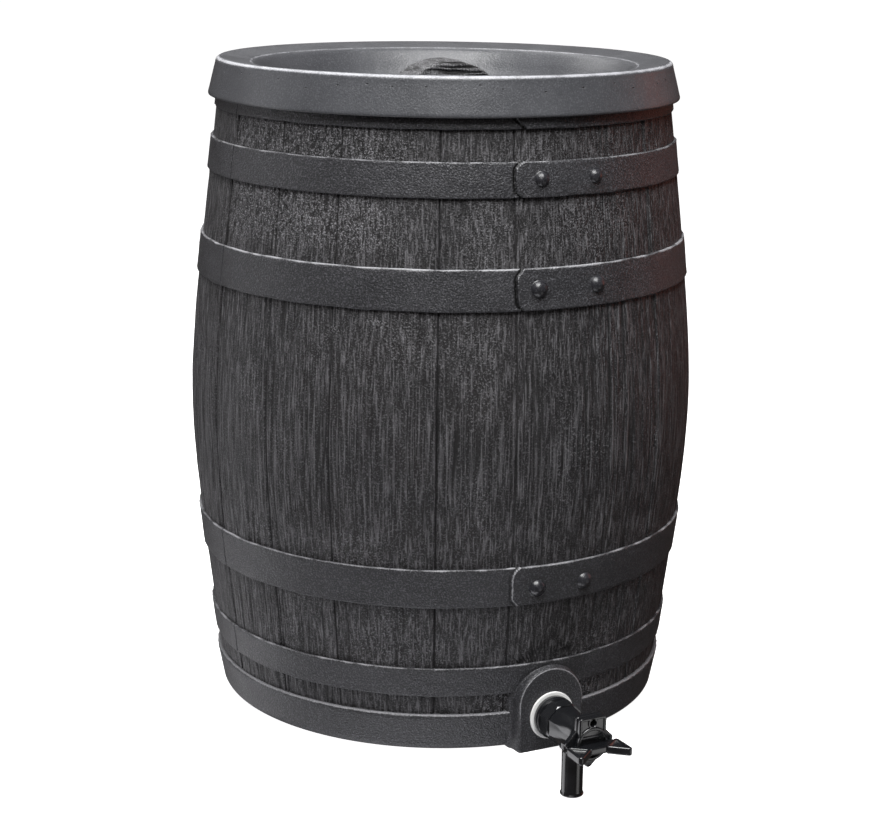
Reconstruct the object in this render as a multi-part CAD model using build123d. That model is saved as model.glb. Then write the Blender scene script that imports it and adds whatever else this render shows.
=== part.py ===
from build123d import *
import math
import os

# Rain barrel, about 50 litres, rotomoulded in one piece as a cooper's barrel, with a
# loose lid and a lockable plastic tap. Millimetres, +Z up. The origin is on the
# barrel's axis at the plane of its base. The tap points along -Y.

# ---- barrel shell ----
BELLY_R = 201.0          # stave surface at its widest
BELLY_Z = 239.5
BULGE_DROP = 8.935       # shape of the stave curve, a hyperbola
BULGE_LENGTH = 67.57
WALL = 4.5
FLOOR = 5.0

BASE_RING_TOP = 30.0     # smooth chime ring at the foot
BASE_RING_R = 183.5
BASE_R = 174.0
BASE_EDGE_R = 5.0

CHIME_LOW = 470.0        # top hoop, mostly under the lid's skirt
CHIME_HIGH = 484.0
NECK_R = 174.6           # plain neck that the lid sits on
NECK_LOW = 487.5
RIM_Z = 501.7

HOOP_PROUD = 2.0
HOOPS = ((422.0, 447.5), (342.0, 372.3), (118.8, 149.5), (45.7, 68.9))
LAPPED_HOOPS = HOOPS[:3]
HOOP_CHAMFER = 0.8

LAP_ANGLE = -10.8        # degrees from the tap towards +X
LAP_PROUD = 1.2
LAP_SWEEP = 29.0         # the lap fades out over this much of the hoop
LAP_CLIP = 5.0           # clipped corners of the lap's end
RIVET_ANGLES = (-5.8, 7.7)
RIVET_STUB = 1.5
RIVET_SIZES = ((4.6, 3.4), (5.6, 4.0), (5.6, 4.0))   # radius and height of the domes

SEAM_START = -86.0       # the seam that the mould's parting line follows
STAVE_ANGLES = (18.8, 16.3, 23.2, 16.9, 22.8, 16.7, 22.5, 18.8, 24.0)   # half way round
SEAM_WIDTH = 1.2
SEAM_DEPTH = 0.9

# ---- tap boss, moulded with the shell ----
BOSS_FACE = 192.0        # distance of the flat face from the barrel's axis
BOSS_HALF_WIDTH = 28.3
BOSS_TOP = 65.0
BOSS_ROOT = 150.0        # how far in the boss block reaches
BOSS_DRAFT = 3.0
BOSS_EDGE = 2.5
TAP_Z = 27.0             # height of the tap's axis
WALL_HOLE_R = 13.6

# ---- lid ----
SKIRT_LOW = 478.5
SKIRT_R = 184.7
LID_TOP = 507.4
LID_TOP_R = 177.8
LID_EDGE_R = 4.0
LID_WALL = 4.0
SKIRT_WALL = 3.3
BOWL_EDGE_R = 151.5
BOWL_EDGE_Z = 503.6
BOWL_FLOOR = 461.0
BOWL_UNDER = (3.0, -4.0)   # step from the bowl's upper to its lower surface

GRIP_R = 48.0            # the half-log grip
GRIP_AXIS_Z = 457.5
GRIP_LENGTH = 40.0
GRIP_TURN = -9.8
GRIP_EDGE = 3.0
GRIP_WALL = 4.0

# ---- tap, sizes along its axis counted outwards from the boss face ----
SEAL_T = 1.8
SEAL_R = 18.7
COLLAR_R = 16.4
COLLAR_END = 9.0
OCTAGON_R = 16.4
OCTAGON_END = 21.0
CONE_R = 15.0
NECK_TUBE_R = 11.2
CONE_END = 46.0
SHANK_R = 13.2           # 3/4 inch pipe thread
SHANK_LENGTH = 20.0
SHANK_BORE_R = 10.0
SHOULDER = 20.0          # where the shank's bore narrows to the plug chamber
CHAMBER_R = 8.6
FLANGE_BACK = 52.5
FLANGE_FRONT = 57.0
FLANGE_HALF = 21.5
LUG_HALF_WIDTH = 11.5
LUG_TOP = 21.0           # above the tap's axis
LUG_HOLE_R = 2.7
LUG_HOLE_Z = 16.2
LUG_CORNER = 2.0

SPOUT_AT = 33.5
SPOUT_R = 8.2
SPOUT_BORE_R = 5.6
SPOUT_TIP = -24.0        # height over the barrel's base plane
SPOUT_SHOULDER = 14.0    # where the spout's bore narrows to the plug's port
BEAD_R = 9.0
BEAD_HEIGHT = 2.6

PLUG_R = 8.54
PLUG_BACK = 15.5
PLUG_BORE_R = 5.2
PLUG_BORE_END = 39.5
PORT_R = 5.2
GROOVE_R = 6.74
GROOVE_WIDTH = 2.2
GROOVES = (25.0, 45.0)
O_RING_WIRE_R = 0.9
O_RING_R = 7.66

HUB_BACK = 57.4
HUB_FRONT = 62.0
HUB_R = 13.0
HUB_RECESS_R = 10.5
HUB_RECESS_FLOOR = 59.5
HANDLE_LUG_FRONT = 61.5
WING_LOW = -5.5          # the wings' under and upper faces from the tap's axis
WING_HIGH = 0.5
WING_OUTLINE = ((58.0, 21.6), (84.0, 22.8), (70.0, 6.0))   # along the axis, across it
WING_CORNER = 1.8
WING_POCKET = 1.6
WING_WALL = 2.6

RING_GROOVE = (18.1, 19.8)
RING_GROOVE_R = 7.3
RING_R = (7.35, 9.6)
RING_ALONG = (18.2, 19.7)
RING_GAP_DEGREES = 40.0

NUT_THICKNESS = 8.0
NUT_FLATS = 34.0
NUT_FLANGE_R = 19.0
NUT_FLANGE_T = 2.0
NUT_BORE_R = 13.23
INNER_SEAL_T = 2.5
INNER_SEAL_R = 18.0
SEAL_BORE_R = 13.4

TAP = Plane(origin=(0, -BOSS_FACE, TAP_Z), x_dir=(1, 0, 0), z_dir=(0, -1, 0))


def stave_r(z):
    """Radius of the stave surface at a height: a hyperbola, round at the belly."""
    reach = (z - BELLY_Z) / BULGE_LENGTH
    return BELLY_R - BULGE_DROP * (math.sqrt(1 + reach * reach) - 1)


def stave_curve(z_low, z_high, offset=0.0, steps=12):
    """Points of the stave curve between two heights, moved outwards by offset."""
    heights = [z_low + (z_high - z_low) * i / steps for i in range(steps + 1)]
    return [(stave_r(z) + offset, z) for z in heights]


def section(*edges):
    """A face in the XZ plane from edges that close on themselves."""
    return Plane.XZ * make_face(Curve() + list(edges))


def turned(*edges):
    return revolve(section(*edges), Axis.Z)


def at_angle(degrees):
    """Turns something that stands at the tap's side (-Y) round the barrel."""
    return Rot(0, 0, degrees)


def disc(radius, low, high):
    """A round block on the tap's axis between two distances from the boss face."""
    return Pos(0, 0, low) * extrude(Circle(radius), high - low)


# ---- barrel shell ----

def stave_body():
    points = stave_curve(BASE_RING_TOP, CHIME_HIGH)
    wall = Spline(*points)
    return turned(
        Line((0, 0), (BASE_R, 0)),
        CenterArc((BASE_R, BASE_EDGE_R), BASE_EDGE_R, -90, 70),
        Line(CenterArc((BASE_R, BASE_EDGE_R), BASE_EDGE_R, -90, 70) @ 1, (BASE_RING_R, BASE_RING_TOP - 1.5)),
        Line((BASE_RING_R, BASE_RING_TOP - 1.5), (BASE_RING_R - 1.5, BASE_RING_TOP)),
        Line((BASE_RING_R - 1.5, BASE_RING_TOP), points[0]),
        wall,
        Line(points[-1], (NECK_R, NECK_LOW)),
        Line((NECK_R, NECK_LOW), (NECK_R, RIM_Z)),
        Line((NECK_R, RIM_Z), (0, RIM_Z)),
        Line((0, RIM_Z), (0, 0)),
    )


def seam_grooves():
    """Thin wedges, one on every seam between two staves."""
    outer = stave_curve(BASE_RING_TOP, CHIME_LOW, 2.0)
    inner = stave_curve(BASE_RING_TOP, CHIME_LOW, -SEAM_DEPTH)
    strip = section(
        Spline(*inner),
        Line(inner[-1], outer[-1]),
        Spline(*outer),
        Line(outer[0], inner[0]),
    )
    sweep = math.degrees(SEAM_WIDTH / BELLY_R)
    wedge = Rot(0, 0, -90 - sweep / 2) * revolve(strip, Axis.Z, sweep)
    angle = SEAM_START
    wedges = []
    for width in STAVE_ANGLES * 2:
        wedges.append(at_angle(angle) * wedge)
        angle += width
    return wedges


def hoop(low, high, proud=HOOP_PROUD, chamfer=HOOP_CHAMFER):
    """One band, straight between its two edges, with a small chamfer on each."""
    r_low = stave_r(low) + proud
    r_high = stave_r(high) + proud
    inside = min(r_low, r_high) - proud - WALL / 2
    return turned(
        Polyline(
            (inside, low),
            (r_low - chamfer, low),
            (r_low, low + chamfer),
            (r_high, high - chamfer),
            (r_high - chamfer, high),
            (inside, high),
            (inside, low),
        )
    )


def lap(low, high):
    """The raised end of a hoop: a slightly eccentric band that sinks into the hoop."""
    throw = 2 * LAP_PROUD / (1 - 2 * math.cos(math.radians(60 + LAP_SWEEP)))
    centre_angle = math.radians(LAP_ANGLE - 60)
    centre = (throw * math.sin(centre_angle), -throw * math.cos(centre_angle))
    middle = (stave_r(low) + stave_r(high)) / 2 + HOOP_PROUD
    start = math.radians(LAP_ANGLE)
    start_x = (middle + LAP_PROUD) * math.sin(start) - centre[0]
    start_y = -(middle + LAP_PROUD) * math.cos(start) - centre[1]
    radius = math.hypot(start_x, start_y)
    slope = (stave_r(high) - stave_r(low)) / 2
    face = section(
        Polyline(
            (radius - 4, low + HOOP_CHAMFER),
            (radius - slope, low + HOOP_CHAMFER),
            (radius + slope, high - HOOP_CHAMFER),
            (radius - 4, high - HOOP_CHAMFER),
            (radius - 4, low + HOOP_CHAMFER),
        )
    )
    turn = math.degrees(math.atan2(start_y, start_x))
    band = Pos(centre[0], centre[1], 0) * Rot(0, 0, turn) * revolve(face, Axis.Z, LAP_SWEEP + 1)
    side = LAP_CLIP * math.sqrt(2)
    for z in (low, high):
        cutter = at_angle(LAP_ANGLE) * Pos(0, -middle, z) * Rot(0, 45, 0) * Box(side, 20, side)
        band -= cutter
    return band


def rivet(low, high, angle, radius, height):
    """A domed rivet head, on a short stub, in the middle of a hoop's lap."""
    surface = (stave_r(low) + stave_r(high)) / 2 + HOOP_PROUD + LAP_PROUD / 2
    ball = (radius * radius + height * height) / (2 * height)
    dome = turned(
        Line((0, -RIVET_STUB), (radius, -RIVET_STUB)),
        Line((radius, -RIVET_STUB), (radius, 0)),
        RadiusArc((radius, 0), (0, height), -ball),
        Line((0, height), (0, -RIVET_STUB)),
    )
    return at_angle(angle) * Pos(0, -surface, (low + high) / 2) * Rot(90, 0, 0) * dome


def arch(half_width, bottom, top):
    """An upright arch in the tap's own plane: square feet, round top."""
    centre = top - half_width
    return make_face(
        Curve()
        + [
            Line((half_width, bottom), (half_width, centre)),
            CenterArc((0, centre), half_width, 0, 180),
            Line((-half_width, centre), (-half_width, bottom)),
            Line((-half_width, bottom), (half_width, bottom)),
        ]
    )


def boss_block():
    face_plane = Plane(origin=(0, -BOSS_FACE, 0), x_dir=(1, 0, 0), z_dir=(0, -1, 0))
    outline = arch(BOSS_HALF_WIDTH, 0, BOSS_TOP)
    depth = BOSS_FACE - BOSS_ROOT
    block = extrude(outline, -depth, taper=-BOSS_DRAFT)
    front = block.faces().sort_by(Axis.Z)[-1]
    rounded = [edge for edge in front.edges() if edge.center().Y > 1]
    block = fillet(rounded, BOSS_EDGE)
    block = face_plane * block
    return block & (Pos(0, -200, 100) * Box(400, 200, 200))


def cavity():
    """The space inside the shell, with the pocket behind the boss."""
    low = FLOOR + 12
    points = stave_curve(BASE_RING_TOP, CHIME_LOW, -WALL)
    start = (stave_r(BASE_RING_TOP) - WALL - 2.5, low)
    room = turned(
        Line((0, FLOOR), (start[0] - 12, FLOOR)),
        CenterArc((start[0] - 12, low), 12, -90, 90),
        Line(start, points[0]),
        Spline(*points),
        Line(points[-1], (NECK_R - WALL, NECK_LOW)),
        Line((NECK_R - WALL, NECK_LOW), (NECK_R - WALL, RIM_Z + 5)),
        Line((NECK_R - WALL, RIM_Z + 5), (0, RIM_Z + 5)),
        Line((0, RIM_Z + 5), (0, FLOOR)),
    )
    pocket_plane = Plane(origin=(0, -BOSS_FACE + WALL, 0), x_dir=(1, 0, 0), z_dir=(0, -1, 0))
    outline = arch(BOSS_HALF_WIDTH - WALL, FLOOR, BOSS_TOP - WALL)
    pocket = pocket_plane * extrude(outline, -(BOSS_FACE - BOSS_ROOT))
    return room + pocket


def barrel_shell():
    shell = stave_body()
    shell -= seam_grooves()
    for low, high in HOOPS:
        shell += hoop(low, high)
    shell += hoop(CHIME_LOW, CHIME_HIGH)
    for (low, high), (radius, height) in zip(LAPPED_HOOPS, RIVET_SIZES):
        shell += lap(low, high)
        for angle in RIVET_ANGLES:
            shell += rivet(low, high, angle, radius, height)
    shell += boss_block()
    shell -= cavity()
    shell -= TAP * disc(WALL_HOLE_R, -WALL - 20, 5)
    return shell


# ---- lid ----

def bowl_points(step=(0.0, 0.0)):
    """Upper surface of the lid's bowl from its edge to the floor, moved by step."""
    points = (
        (BOWL_EDGE_R - 3.5, BOWL_EDGE_Z - 2.2),
        (BOWL_EDGE_R - 8, BOWL_EDGE_Z - 9),
        (136, 482),
        (120, 468.5),
        (95, BOWL_FLOOR + 1.2),
        (55, BOWL_FLOOR),
    )
    return [(r + step[0], z + step[1]) for r, z in points]


def lid_disc():
    upper = bowl_points()
    under = bowl_points(BOWL_UNDER)
    skirt_top = (LID_TOP_R + 0.9, LID_TOP - LID_EDGE_R)
    rim_start = (LID_TOP_R - LID_EDGE_R, LID_TOP)
    rim_end = (BOWL_EDGE_R, BOWL_EDGE_Z)
    rim_under = (BOWL_EDGE_R + 3, BOWL_EDGE_Z - LID_WALL)
    inner_corner = (LID_TOP_R - LID_EDGE_R, LID_TOP - LID_WALL - 0.4)
    skirt_inner_top = (skirt_top[0] - SKIRT_WALL, skirt_top[1] - 3)
    skirt_inner_low = (SKIRT_R - SKIRT_WALL, SKIRT_LOW)
    return turned(
        Line(skirt_inner_low, (SKIRT_R - 1.4, SKIRT_LOW)),
        Line((SKIRT_R - 1.4, SKIRT_LOW), (SKIRT_R, SKIRT_LOW + 1.4)),
        Line((SKIRT_R, SKIRT_LOW + 1.4), skirt_top),
        TangentArc(skirt_top, rim_start, tangent=(-0.24, 1)),
        Line(rim_start, rim_end),
        Line(rim_end, upper[0]),
        Spline(*upper, tangents=((-1, -1), (-1, 0))),
        Line(upper[-1], (0, BOWL_FLOOR)),
        Line((0, BOWL_FLOOR), (0, BOWL_FLOOR + BOWL_UNDER[1])),
        Line((0, BOWL_FLOOR + BOWL_UNDER[1]), under[-1]),
        Spline(*under, tangents=((-1, -1), (-1, 0))),
        Line(under[0], rim_under),
        Line(rim_under, inner_corner),
        Line(inner_corner, skirt_inner_top),
        Line(skirt_inner_top, skirt_inner_low),
    )


def half_log(radius, length, below, edge=0.0):
    """A half-round block lying along Y, with straight sides below its axis."""
    outline = make_face(
        Curve()
        + [
            CenterArc((0, 0), radius, 0, 180),
            Line((-radius, 0), (-radius, -below)),
            Line((-radius, -below), (radius, -below)),
            Line((radius, -below), (radius, 0)),
        ]
    )
    block = extrude(Plane.XZ * outline, length / 2, both=True)
    if edge:
        block = fillet(block.edges().filter_by(GeomType.CIRCLE), edge)
    return block


def lid():
    place = Rot(0, 0, GRIP_TURN) * Pos(0, 0, GRIP_AXIS_Z)
    whole = lid_disc() + place * half_log(GRIP_R, GRIP_LENGTH, 0.2, GRIP_EDGE)
    hollow = half_log(GRIP_R - GRIP_WALL, GRIP_LENGTH - 2 * GRIP_WALL, 2 * GRIP_WALL)
    return whole - place * hollow


# ---- tap ----

def lug_outline(bottom):
    """The upright padlock lug above the tap's axis, with its hole."""
    height = LUG_TOP - bottom
    plate = Pos(0, bottom + height / 2) * Rectangle(2 * LUG_HALF_WIDTH, height)
    top_corners = plate.vertices().group_by(Axis.Y)[-1]
    plate = fillet(top_corners, LUG_CORNER)
    return plate - Pos(0, LUG_HOLE_Z) * Circle(LUG_HOLE_R)


def spout():
    """The hose tail, straight down from the plug chamber, with a bead at its tip."""
    tip = SPOUT_TIP - TAP_Z
    tail = extrude(Circle(SPOUT_R), -tip)
    bead = fillet(extrude(Circle(BEAD_R), BEAD_HEIGHT).edges(), 0.8)
    down = Pos(0, tip, SPOUT_AT) * Rot(-90, 0, 0)
    return down * (tail + bead)


def spout_bore():
    tip = SPOUT_TIP - TAP_Z
    wide = extrude(Circle(SPOUT_BORE_R), SPOUT_SHOULDER - SPOUT_TIP + 1)
    narrow = extrude(Circle(PORT_R), 1 - tip)
    return Pos(0, tip - 1, SPOUT_AT) * Rot(-90, 0, 0) * (wide + narrow)


def tap_body():
    body = disc(SHANK_R, -SHANK_LENGTH, SEAL_T) + disc(COLLAR_R, SEAL_T, COLLAR_END)
    octagon = RegularPolygon(OCTAGON_R, 8, rotation=22.5)
    body += Pos(0, 0, COLLAR_END) * extrude(octagon, OCTAGON_END - COLLAR_END)
    cone_length = CONE_END - OCTAGON_END
    body += Pos(0, 0, OCTAGON_END + cone_length / 2) * Cone(CONE_R, NECK_TUBE_R, cone_length)
    body += disc(NECK_TUBE_R, CONE_END, FLANGE_BACK)
    diamond = fillet((Rot(0, 0, 45) * Rectangle(FLANGE_HALF * math.sqrt(2), FLANGE_HALF * math.sqrt(2))).vertices(), 3)
    plate = diamond + lug_outline(0)
    plate -= Pos(0, LUG_HOLE_Z) * Circle(LUG_HOLE_R)
    body += Pos(0, 0, FLANGE_BACK) * extrude(plate, FLANGE_FRONT - FLANGE_BACK)
    body += spout()
    body -= disc(CHAMBER_R, SHOULDER - 1, FLANGE_FRONT + 1)
    body -= disc(SHANK_BORE_R, -SHANK_LENGTH - 1, SHOULDER)
    body -= spout_bore()
    return TAP * body


def wing(side):
    """One triangular wing of the butterfly handle, hollowed on top."""
    outline = [(side * across, along) for along, across in WING_OUTLINE]
    outline += [(0, WING_OUTLINE[2][0]), (0, WING_OUTLINE[0][0])]
    triangle = [outline[0], outline[1], outline[2]]
    blank = make_face(Polyline(outline[0], outline[1], outline[2], outline[3], outline[4], outline[0]))
    corners = [v for v in blank.vertices() if abs(v.X) > 15]
    blank = fillet(corners, WING_CORNER)
    pocket = offset(make_face(Polyline(*triangle, triangle[0])), -WING_WALL)
    solid = extrude(blank, WING_HIGH - WING_LOW)
    solid -= Pos(0, 0, WING_HIGH - WING_LOW - WING_POCKET) * extrude(pocket, WING_POCKET + 1)
    return Pos(0, WING_LOW, 0) * Rot(90, 0, 0) * mirror(solid, Plane.XY)


def tap_plug():
    """Plug and butterfly handle in one moulding. At rest its port points to -X: shut."""
    plug = disc(PLUG_R, PLUG_BACK, HUB_BACK)
    hub = disc(HUB_R, HUB_BACK, HUB_FRONT) - disc(HUB_RECESS_R, HUB_RECESS_FLOOR, HUB_FRONT + 1)
    lug = Pos(0, 0, HUB_BACK) * extrude(lug_outline(0), HANDLE_LUG_FRONT - HUB_BACK)
    lug -= disc(HUB_RECESS_R, HUB_RECESS_FLOOR, HUB_FRONT + 1)
    part = plug + hub + lug + wing(1) + wing(-1)
    part -= disc(PLUG_BORE_R, PLUG_BACK - 1, PLUG_BORE_END)
    part -= Pos(0, 0, SPOUT_AT) * Rot(0, -90, 0) * extrude(Circle(PORT_R), PLUG_R + 1)
    for middle in GROOVES:
        part -= ring_block(GROOVE_R, PLUG_R + 1, middle - GROOVE_WIDTH / 2, middle + GROOVE_WIDTH / 2)
    part -= ring_block(RING_GROOVE_R, PLUG_R + 1, *RING_GROOVE)
    return TAP * part


def ring_block(inner, outer, low, high):
    return disc(outer, low, high) - disc(inner, low, high)


def plug_o_ring(middle):
    return TAP * (Pos(0, 0, middle) * Torus(O_RING_R, O_RING_WIRE_R))


def plug_retaining_ring():
    """A split ring on the plug's tail, behind the shoulder in the shank."""
    ring = ring_block(RING_R[0], RING_R[1], *RING_ALONG)
    gap_width = 2 * RING_R[1] * math.sin(math.radians(RING_GAP_DEGREES / 2))
    ring -= Pos(0, RING_R[1], sum(RING_ALONG) / 2) * Box(gap_width, RING_R[1], 4)
    return TAP * ring


def tap_outer_seal():
    return TAP * ring_block(SEAL_BORE_R, SEAL_R, 0, SEAL_T)


def tap_inner_seal():
    return TAP * ring_block(SEAL_BORE_R, INNER_SEAL_R, -WALL - INNER_SEAL_T, -WALL)


def tap_back_nut():
    front = -WALL - INNER_SEAL_T
    nut = disc(NUT_FLANGE_R, front - NUT_FLANGE_T, front)
    hexagon = RegularPolygon(NUT_FLATS / 2, 6, major_radius=False)
    nut += Pos(0, 0, front - NUT_THICKNESS) * extrude(hexagon, NUT_THICKNESS - NUT_FLANGE_T)
    return TAP * (nut - disc(NUT_BORE_R, front - NUT_THICKNESS - 1, front + 1))


NODES = {
    "barrel_shell": barrel_shell,
    "lid": lid,
    "tap_body": tap_body,
    "tap_handle_plug": tap_plug,
    "plug_rear_o_ring": lambda: plug_o_ring(GROOVES[0]),
    "plug_front_o_ring": lambda: plug_o_ring(GROOVES[1]),
    "plug_retaining_ring": plug_retaining_ring,
    "tap_outer_seal": tap_outer_seal,
    "tap_inner_seal": tap_inner_seal,
    "tap_back_nut": tap_back_nut,
}

os.makedirs("parts", exist_ok=True)
for name, make in NODES.items():
    export_step(make(), os.path.join("parts", name + ".step"))
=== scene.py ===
import math

import bpy
import numpy as np
from mathutils import Matrix, Vector


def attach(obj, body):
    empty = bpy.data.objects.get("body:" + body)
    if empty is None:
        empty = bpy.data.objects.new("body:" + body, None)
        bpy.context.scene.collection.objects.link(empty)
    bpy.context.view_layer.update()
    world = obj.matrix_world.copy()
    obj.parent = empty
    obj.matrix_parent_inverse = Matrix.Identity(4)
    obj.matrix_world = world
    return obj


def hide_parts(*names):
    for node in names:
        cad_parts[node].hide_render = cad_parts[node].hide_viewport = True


# A 50 litre rain barrel in dark rotomoulded polyethylene: staves with moulded wood grain between
# smooth hoops, a loose dished lid with a half-log grip, and a black plastic tap. Shapes are
# worked out in millimetres in the CAD frame: the barrel's axis is Z, its base plane is z = 0,
# and the tap points along -Y. A turn is in degrees from the tap towards +X.

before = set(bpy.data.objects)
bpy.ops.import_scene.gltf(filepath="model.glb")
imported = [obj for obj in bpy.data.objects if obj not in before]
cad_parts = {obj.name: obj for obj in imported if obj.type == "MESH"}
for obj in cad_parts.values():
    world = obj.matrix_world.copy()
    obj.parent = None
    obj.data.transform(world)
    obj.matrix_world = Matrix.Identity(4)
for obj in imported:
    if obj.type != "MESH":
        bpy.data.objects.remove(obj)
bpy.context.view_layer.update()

MM = 0.001
FULL_TURN = 2 * math.pi

# ---- sizes shared with the CAD model, mm and degrees ----
BELLY_R, BELLY_Z = 201.0, 239.5
BULGE_DROP, BULGE_LENGTH = 8.935, 67.57
WALL, FLOOR = 4.5, 5.0
BASE_RING_R, BASE_RING_TOP, BASE_R, BASE_EDGE_R = 183.5, 30.0, 174.0, 5.0
NECK_R, NECK_LOW, RIM_Z = 174.6, 487.5, 501.7
HOOP_PROUD, HOOP_SUNK = 2.0, 2.8
# Each hoop's lower and upper edge, from the top down, then the chime hoop under the rim.
HOOP_1, HOOP_2, HOOP_3, HOOP_4 = (422.0, 447.5), (342.0, 372.3), (118.8, 149.5), (45.7, 68.9)
CHIME = (470.0, 484.0)
# A lap: its end's turn, its height, the turn over which it fades, and its corners' clip.
LAP_ANGLE, LAP_PROUD, LAP_SWEEP, LAP_CLIP = -10.8, 1.2, 29.0, 5.0
# Rivets of hoops 1 to 3: two turns, head radius and height, and the way up from the middle.
RIVETS = (((-4.7, 9.6), 5.5, 3.7, 0.0), ((-6.0, 8.6), 6.2, 4.2, 0.0), ((-4.9, 7.2), 6.4, 4.2, -2.0))
# The staves: the first seam, on the mould's parting line, then each stave's share of a half turn.
SEAM_START = -86.0
STAVE_ANGLES = (18.8, 16.3, 23.2, 16.9, 22.8, 16.7, 22.5, 18.8, 24.0)
HALF_RING = len(STAVE_ANGLES)     # staves in half a ring
STAVE_BACK, DEEPEST_CUT = 2.55, 2.3     # the staves' hidden side, and the most that is cut away
UNDER = 3.0               # staves run on under the hoops
TALL_BAND = 100.0         # a band of staves over this height gets coarser rows
# Rough knots in the mould: turn, height, half width, half height.
SCARS = ((-44.5, 413.5, 7, 3), (-40.5, 333, 9, 3), (-50, 325, 5, 3.5), (-13, 401, 3, 3), (4, 404, 3, 2),
         (28, 230, 4, 7), (121, 300, 8, 4), (163, 190, 6, 5), (205, 396, 9, 3), (236, 270, 5, 6))
BOSS_FACE, BOSS_HALF_WIDTH, BOSS_TOP, TAP_Z, WALL_HOLE_R = 192.0, 28.3, 65.0, 27.0, 13.6
BOSS_BEVEL = 2.9
SKIRT_LOW, SKIRT_R, LID_TOP, LID_TOP_R = 478.5, 184.7, 507.4, 177.8
BOWL_FLOOR = 461.0
PIT_ROW_Z = 497.5         # height of the row of pinholes round the lid's skirt
LID_WALL = 4.0
GRIP_R, GRIP_AXIS_Z, GRIP_LENGTH, GRIP_TURN, GRIP_ROUND = 48.0, 457.5, 40.0, -9.8, 2.6
# The tap: radii, and distances along its axis from the boss face outwards.
SHANK_END, SHANK_R, SHANK_BORE_R, THREAD_PITCH = -20.0, 13.0, 10.0, 1.814
WASHER_THICK, WASHER_HOLE_R = 1.8, 13.4
COLLAR_R, COLLAR_END, OCTAGON_END = 16.4, 9.0, 21.0
TAP_NECK_R, CONE_END, CHAMBER_R, PLUG_R = 11.2, 46.0, 8.6, 8.54
FLANGE_BACK, FLANGE_FACE = 52.5, 57.0
SPOUT_AT, SPOUT_TIP, SPOUT_R, SPOUT_BORE_R = 33.5, -24.0, 8.2, 5.6
# Outlines across the tap's axis: the flange, and the padlock lugs with their hole.
DIAMOND = ((0.0, -21.5), (21.5, 0.0), (0.0, 21.5), (-21.5, 0.0))
LUG = ((-11.5, 4.0), (11.5, 4.0), (11.5, 21.0), (-11.5, 21.0))
LUG_HOLE = (0.0, 16.2, 2.7)


# ---- numbers and curves ----

def lattice(ix, iy, seed):
    """A fixed number from -1 to 1 for each whole lattice point: multiplied, folded bits."""
    bits = (ix * 374761393 + iy * 668265263 + seed * 1274126177) & 0xFFFFFFFF
    bits = ((bits ^ (bits >> 13)) * 1274126177) & 0xFFFFFFFF
    return ((bits ^ (bits >> 16)) & 0xFFFF) / 32767.5 - 1.0


def noise(x, y, seed, wrap=0):
    """Smooth noise from -1 to 1: lattice values joined by cubic steps. With wrap, x repeats
    after that many cells."""
    x, y = np.broadcast_arrays(np.asarray(x, float), np.asarray(y, float))
    ix, iy = np.floor(x).astype(np.int64), np.floor(y).astype(np.int64)
    tx, ty = x - ix, y - iy
    tx, ty = tx * tx * (3 - 2 * tx), ty * ty * (3 - 2 * ty)
    jx = ix + 1
    if wrap:
        ix, jx = ix % wrap, jx % wrap
    low = lattice(ix, iy, seed) * (1 - tx) + lattice(jx, iy, seed) * tx
    high = lattice(ix, iy + 1, seed) * (1 - tx) + lattice(jx, iy + 1, seed) * tx
    return low * (1 - ty) + high * ty


def ramp(x, low, high):
    """0 below low, 1 above high, a cubic step between them."""
    t = np.clip((x - low) / (high - low), 0, 1)
    return t * t * (3 - 2 * t)


def bell(x, width):
    """1 at nought, falling off on both sides as a Gauss curve of this width."""
    return np.exp(-((x / width) ** 2))


def stave_r(z):
    """Radius of the stave surface at a height: a hyperbola, round at the belly."""
    return BELLY_R - BULGE_DROP * (np.sqrt(1 + ((z - BELLY_Z) / BULGE_LENGTH) ** 2) - 1)


def arc(centre, radius, start, end, count):
    """Points of a circle's arc between two angles in degrees."""
    a = np.radians(np.linspace(start, end, count))
    return np.stack([centre[0] + radius * np.cos(a), centre[1] + radius * np.sin(a)], axis=-1)


def line(start, end, step):
    """Evenly spaced points from start up to, but not at, end."""
    start, end = np.array(start, float), np.array(end, float)
    count = max(1, round(float(np.linalg.norm(end - start)) / step))
    t = np.arange(count)[:, None] / count
    return start + (end - start) * t


def smooth_line(points, per_span):
    """A Catmull-Rom curve through the points: each span a cubic with its neighbours' slope."""
    p = np.array(points, float)
    before = np.vstack([2 * p[0] - p[1], p[:-2]])
    after = np.vstack([p[2:], 2 * p[-1] - p[-2]])
    t = (np.arange(per_span) / per_span)[None, :, None]
    a, b = p[:-1][:, None], p[1:][:, None]
    ta, tb = (p[1:] - before)[:, None] / 2, (after - p[:-1])[:, None] / 2
    curve = a * (2 * t**3 - 3 * t**2 + 1) + ta * (t**3 - 2 * t**2 + t)
    curve = curve + b * (3 * t**2 - 2 * t**3) + tb * (t**3 - t**2)
    return np.vstack([curve.reshape(-1, 2), p[-1]])


def around(radius, degrees, z):
    """Points at a radius from the barrel's axis, a turn from the tap towards +X, a height."""
    r, a, z = np.broadcast_arrays(radius, np.radians(degrees), z)
    return np.stack([r * np.sin(a), -r * np.cos(a), z], axis=-1)


def tap_points(across, up, along):
    """Points from the tap's axis: across, up, and along it outwards from the boss face."""
    x, up, along = np.broadcast_arrays(across, up, along)
    return np.stack([x, -BOSS_FACE - along, TAP_Z + up], axis=-1)


def turns(count):
    """Evenly spaced turns once round, in degrees."""
    return np.arange(count) * 360.0 / count


# ---- meshes ----

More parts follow.
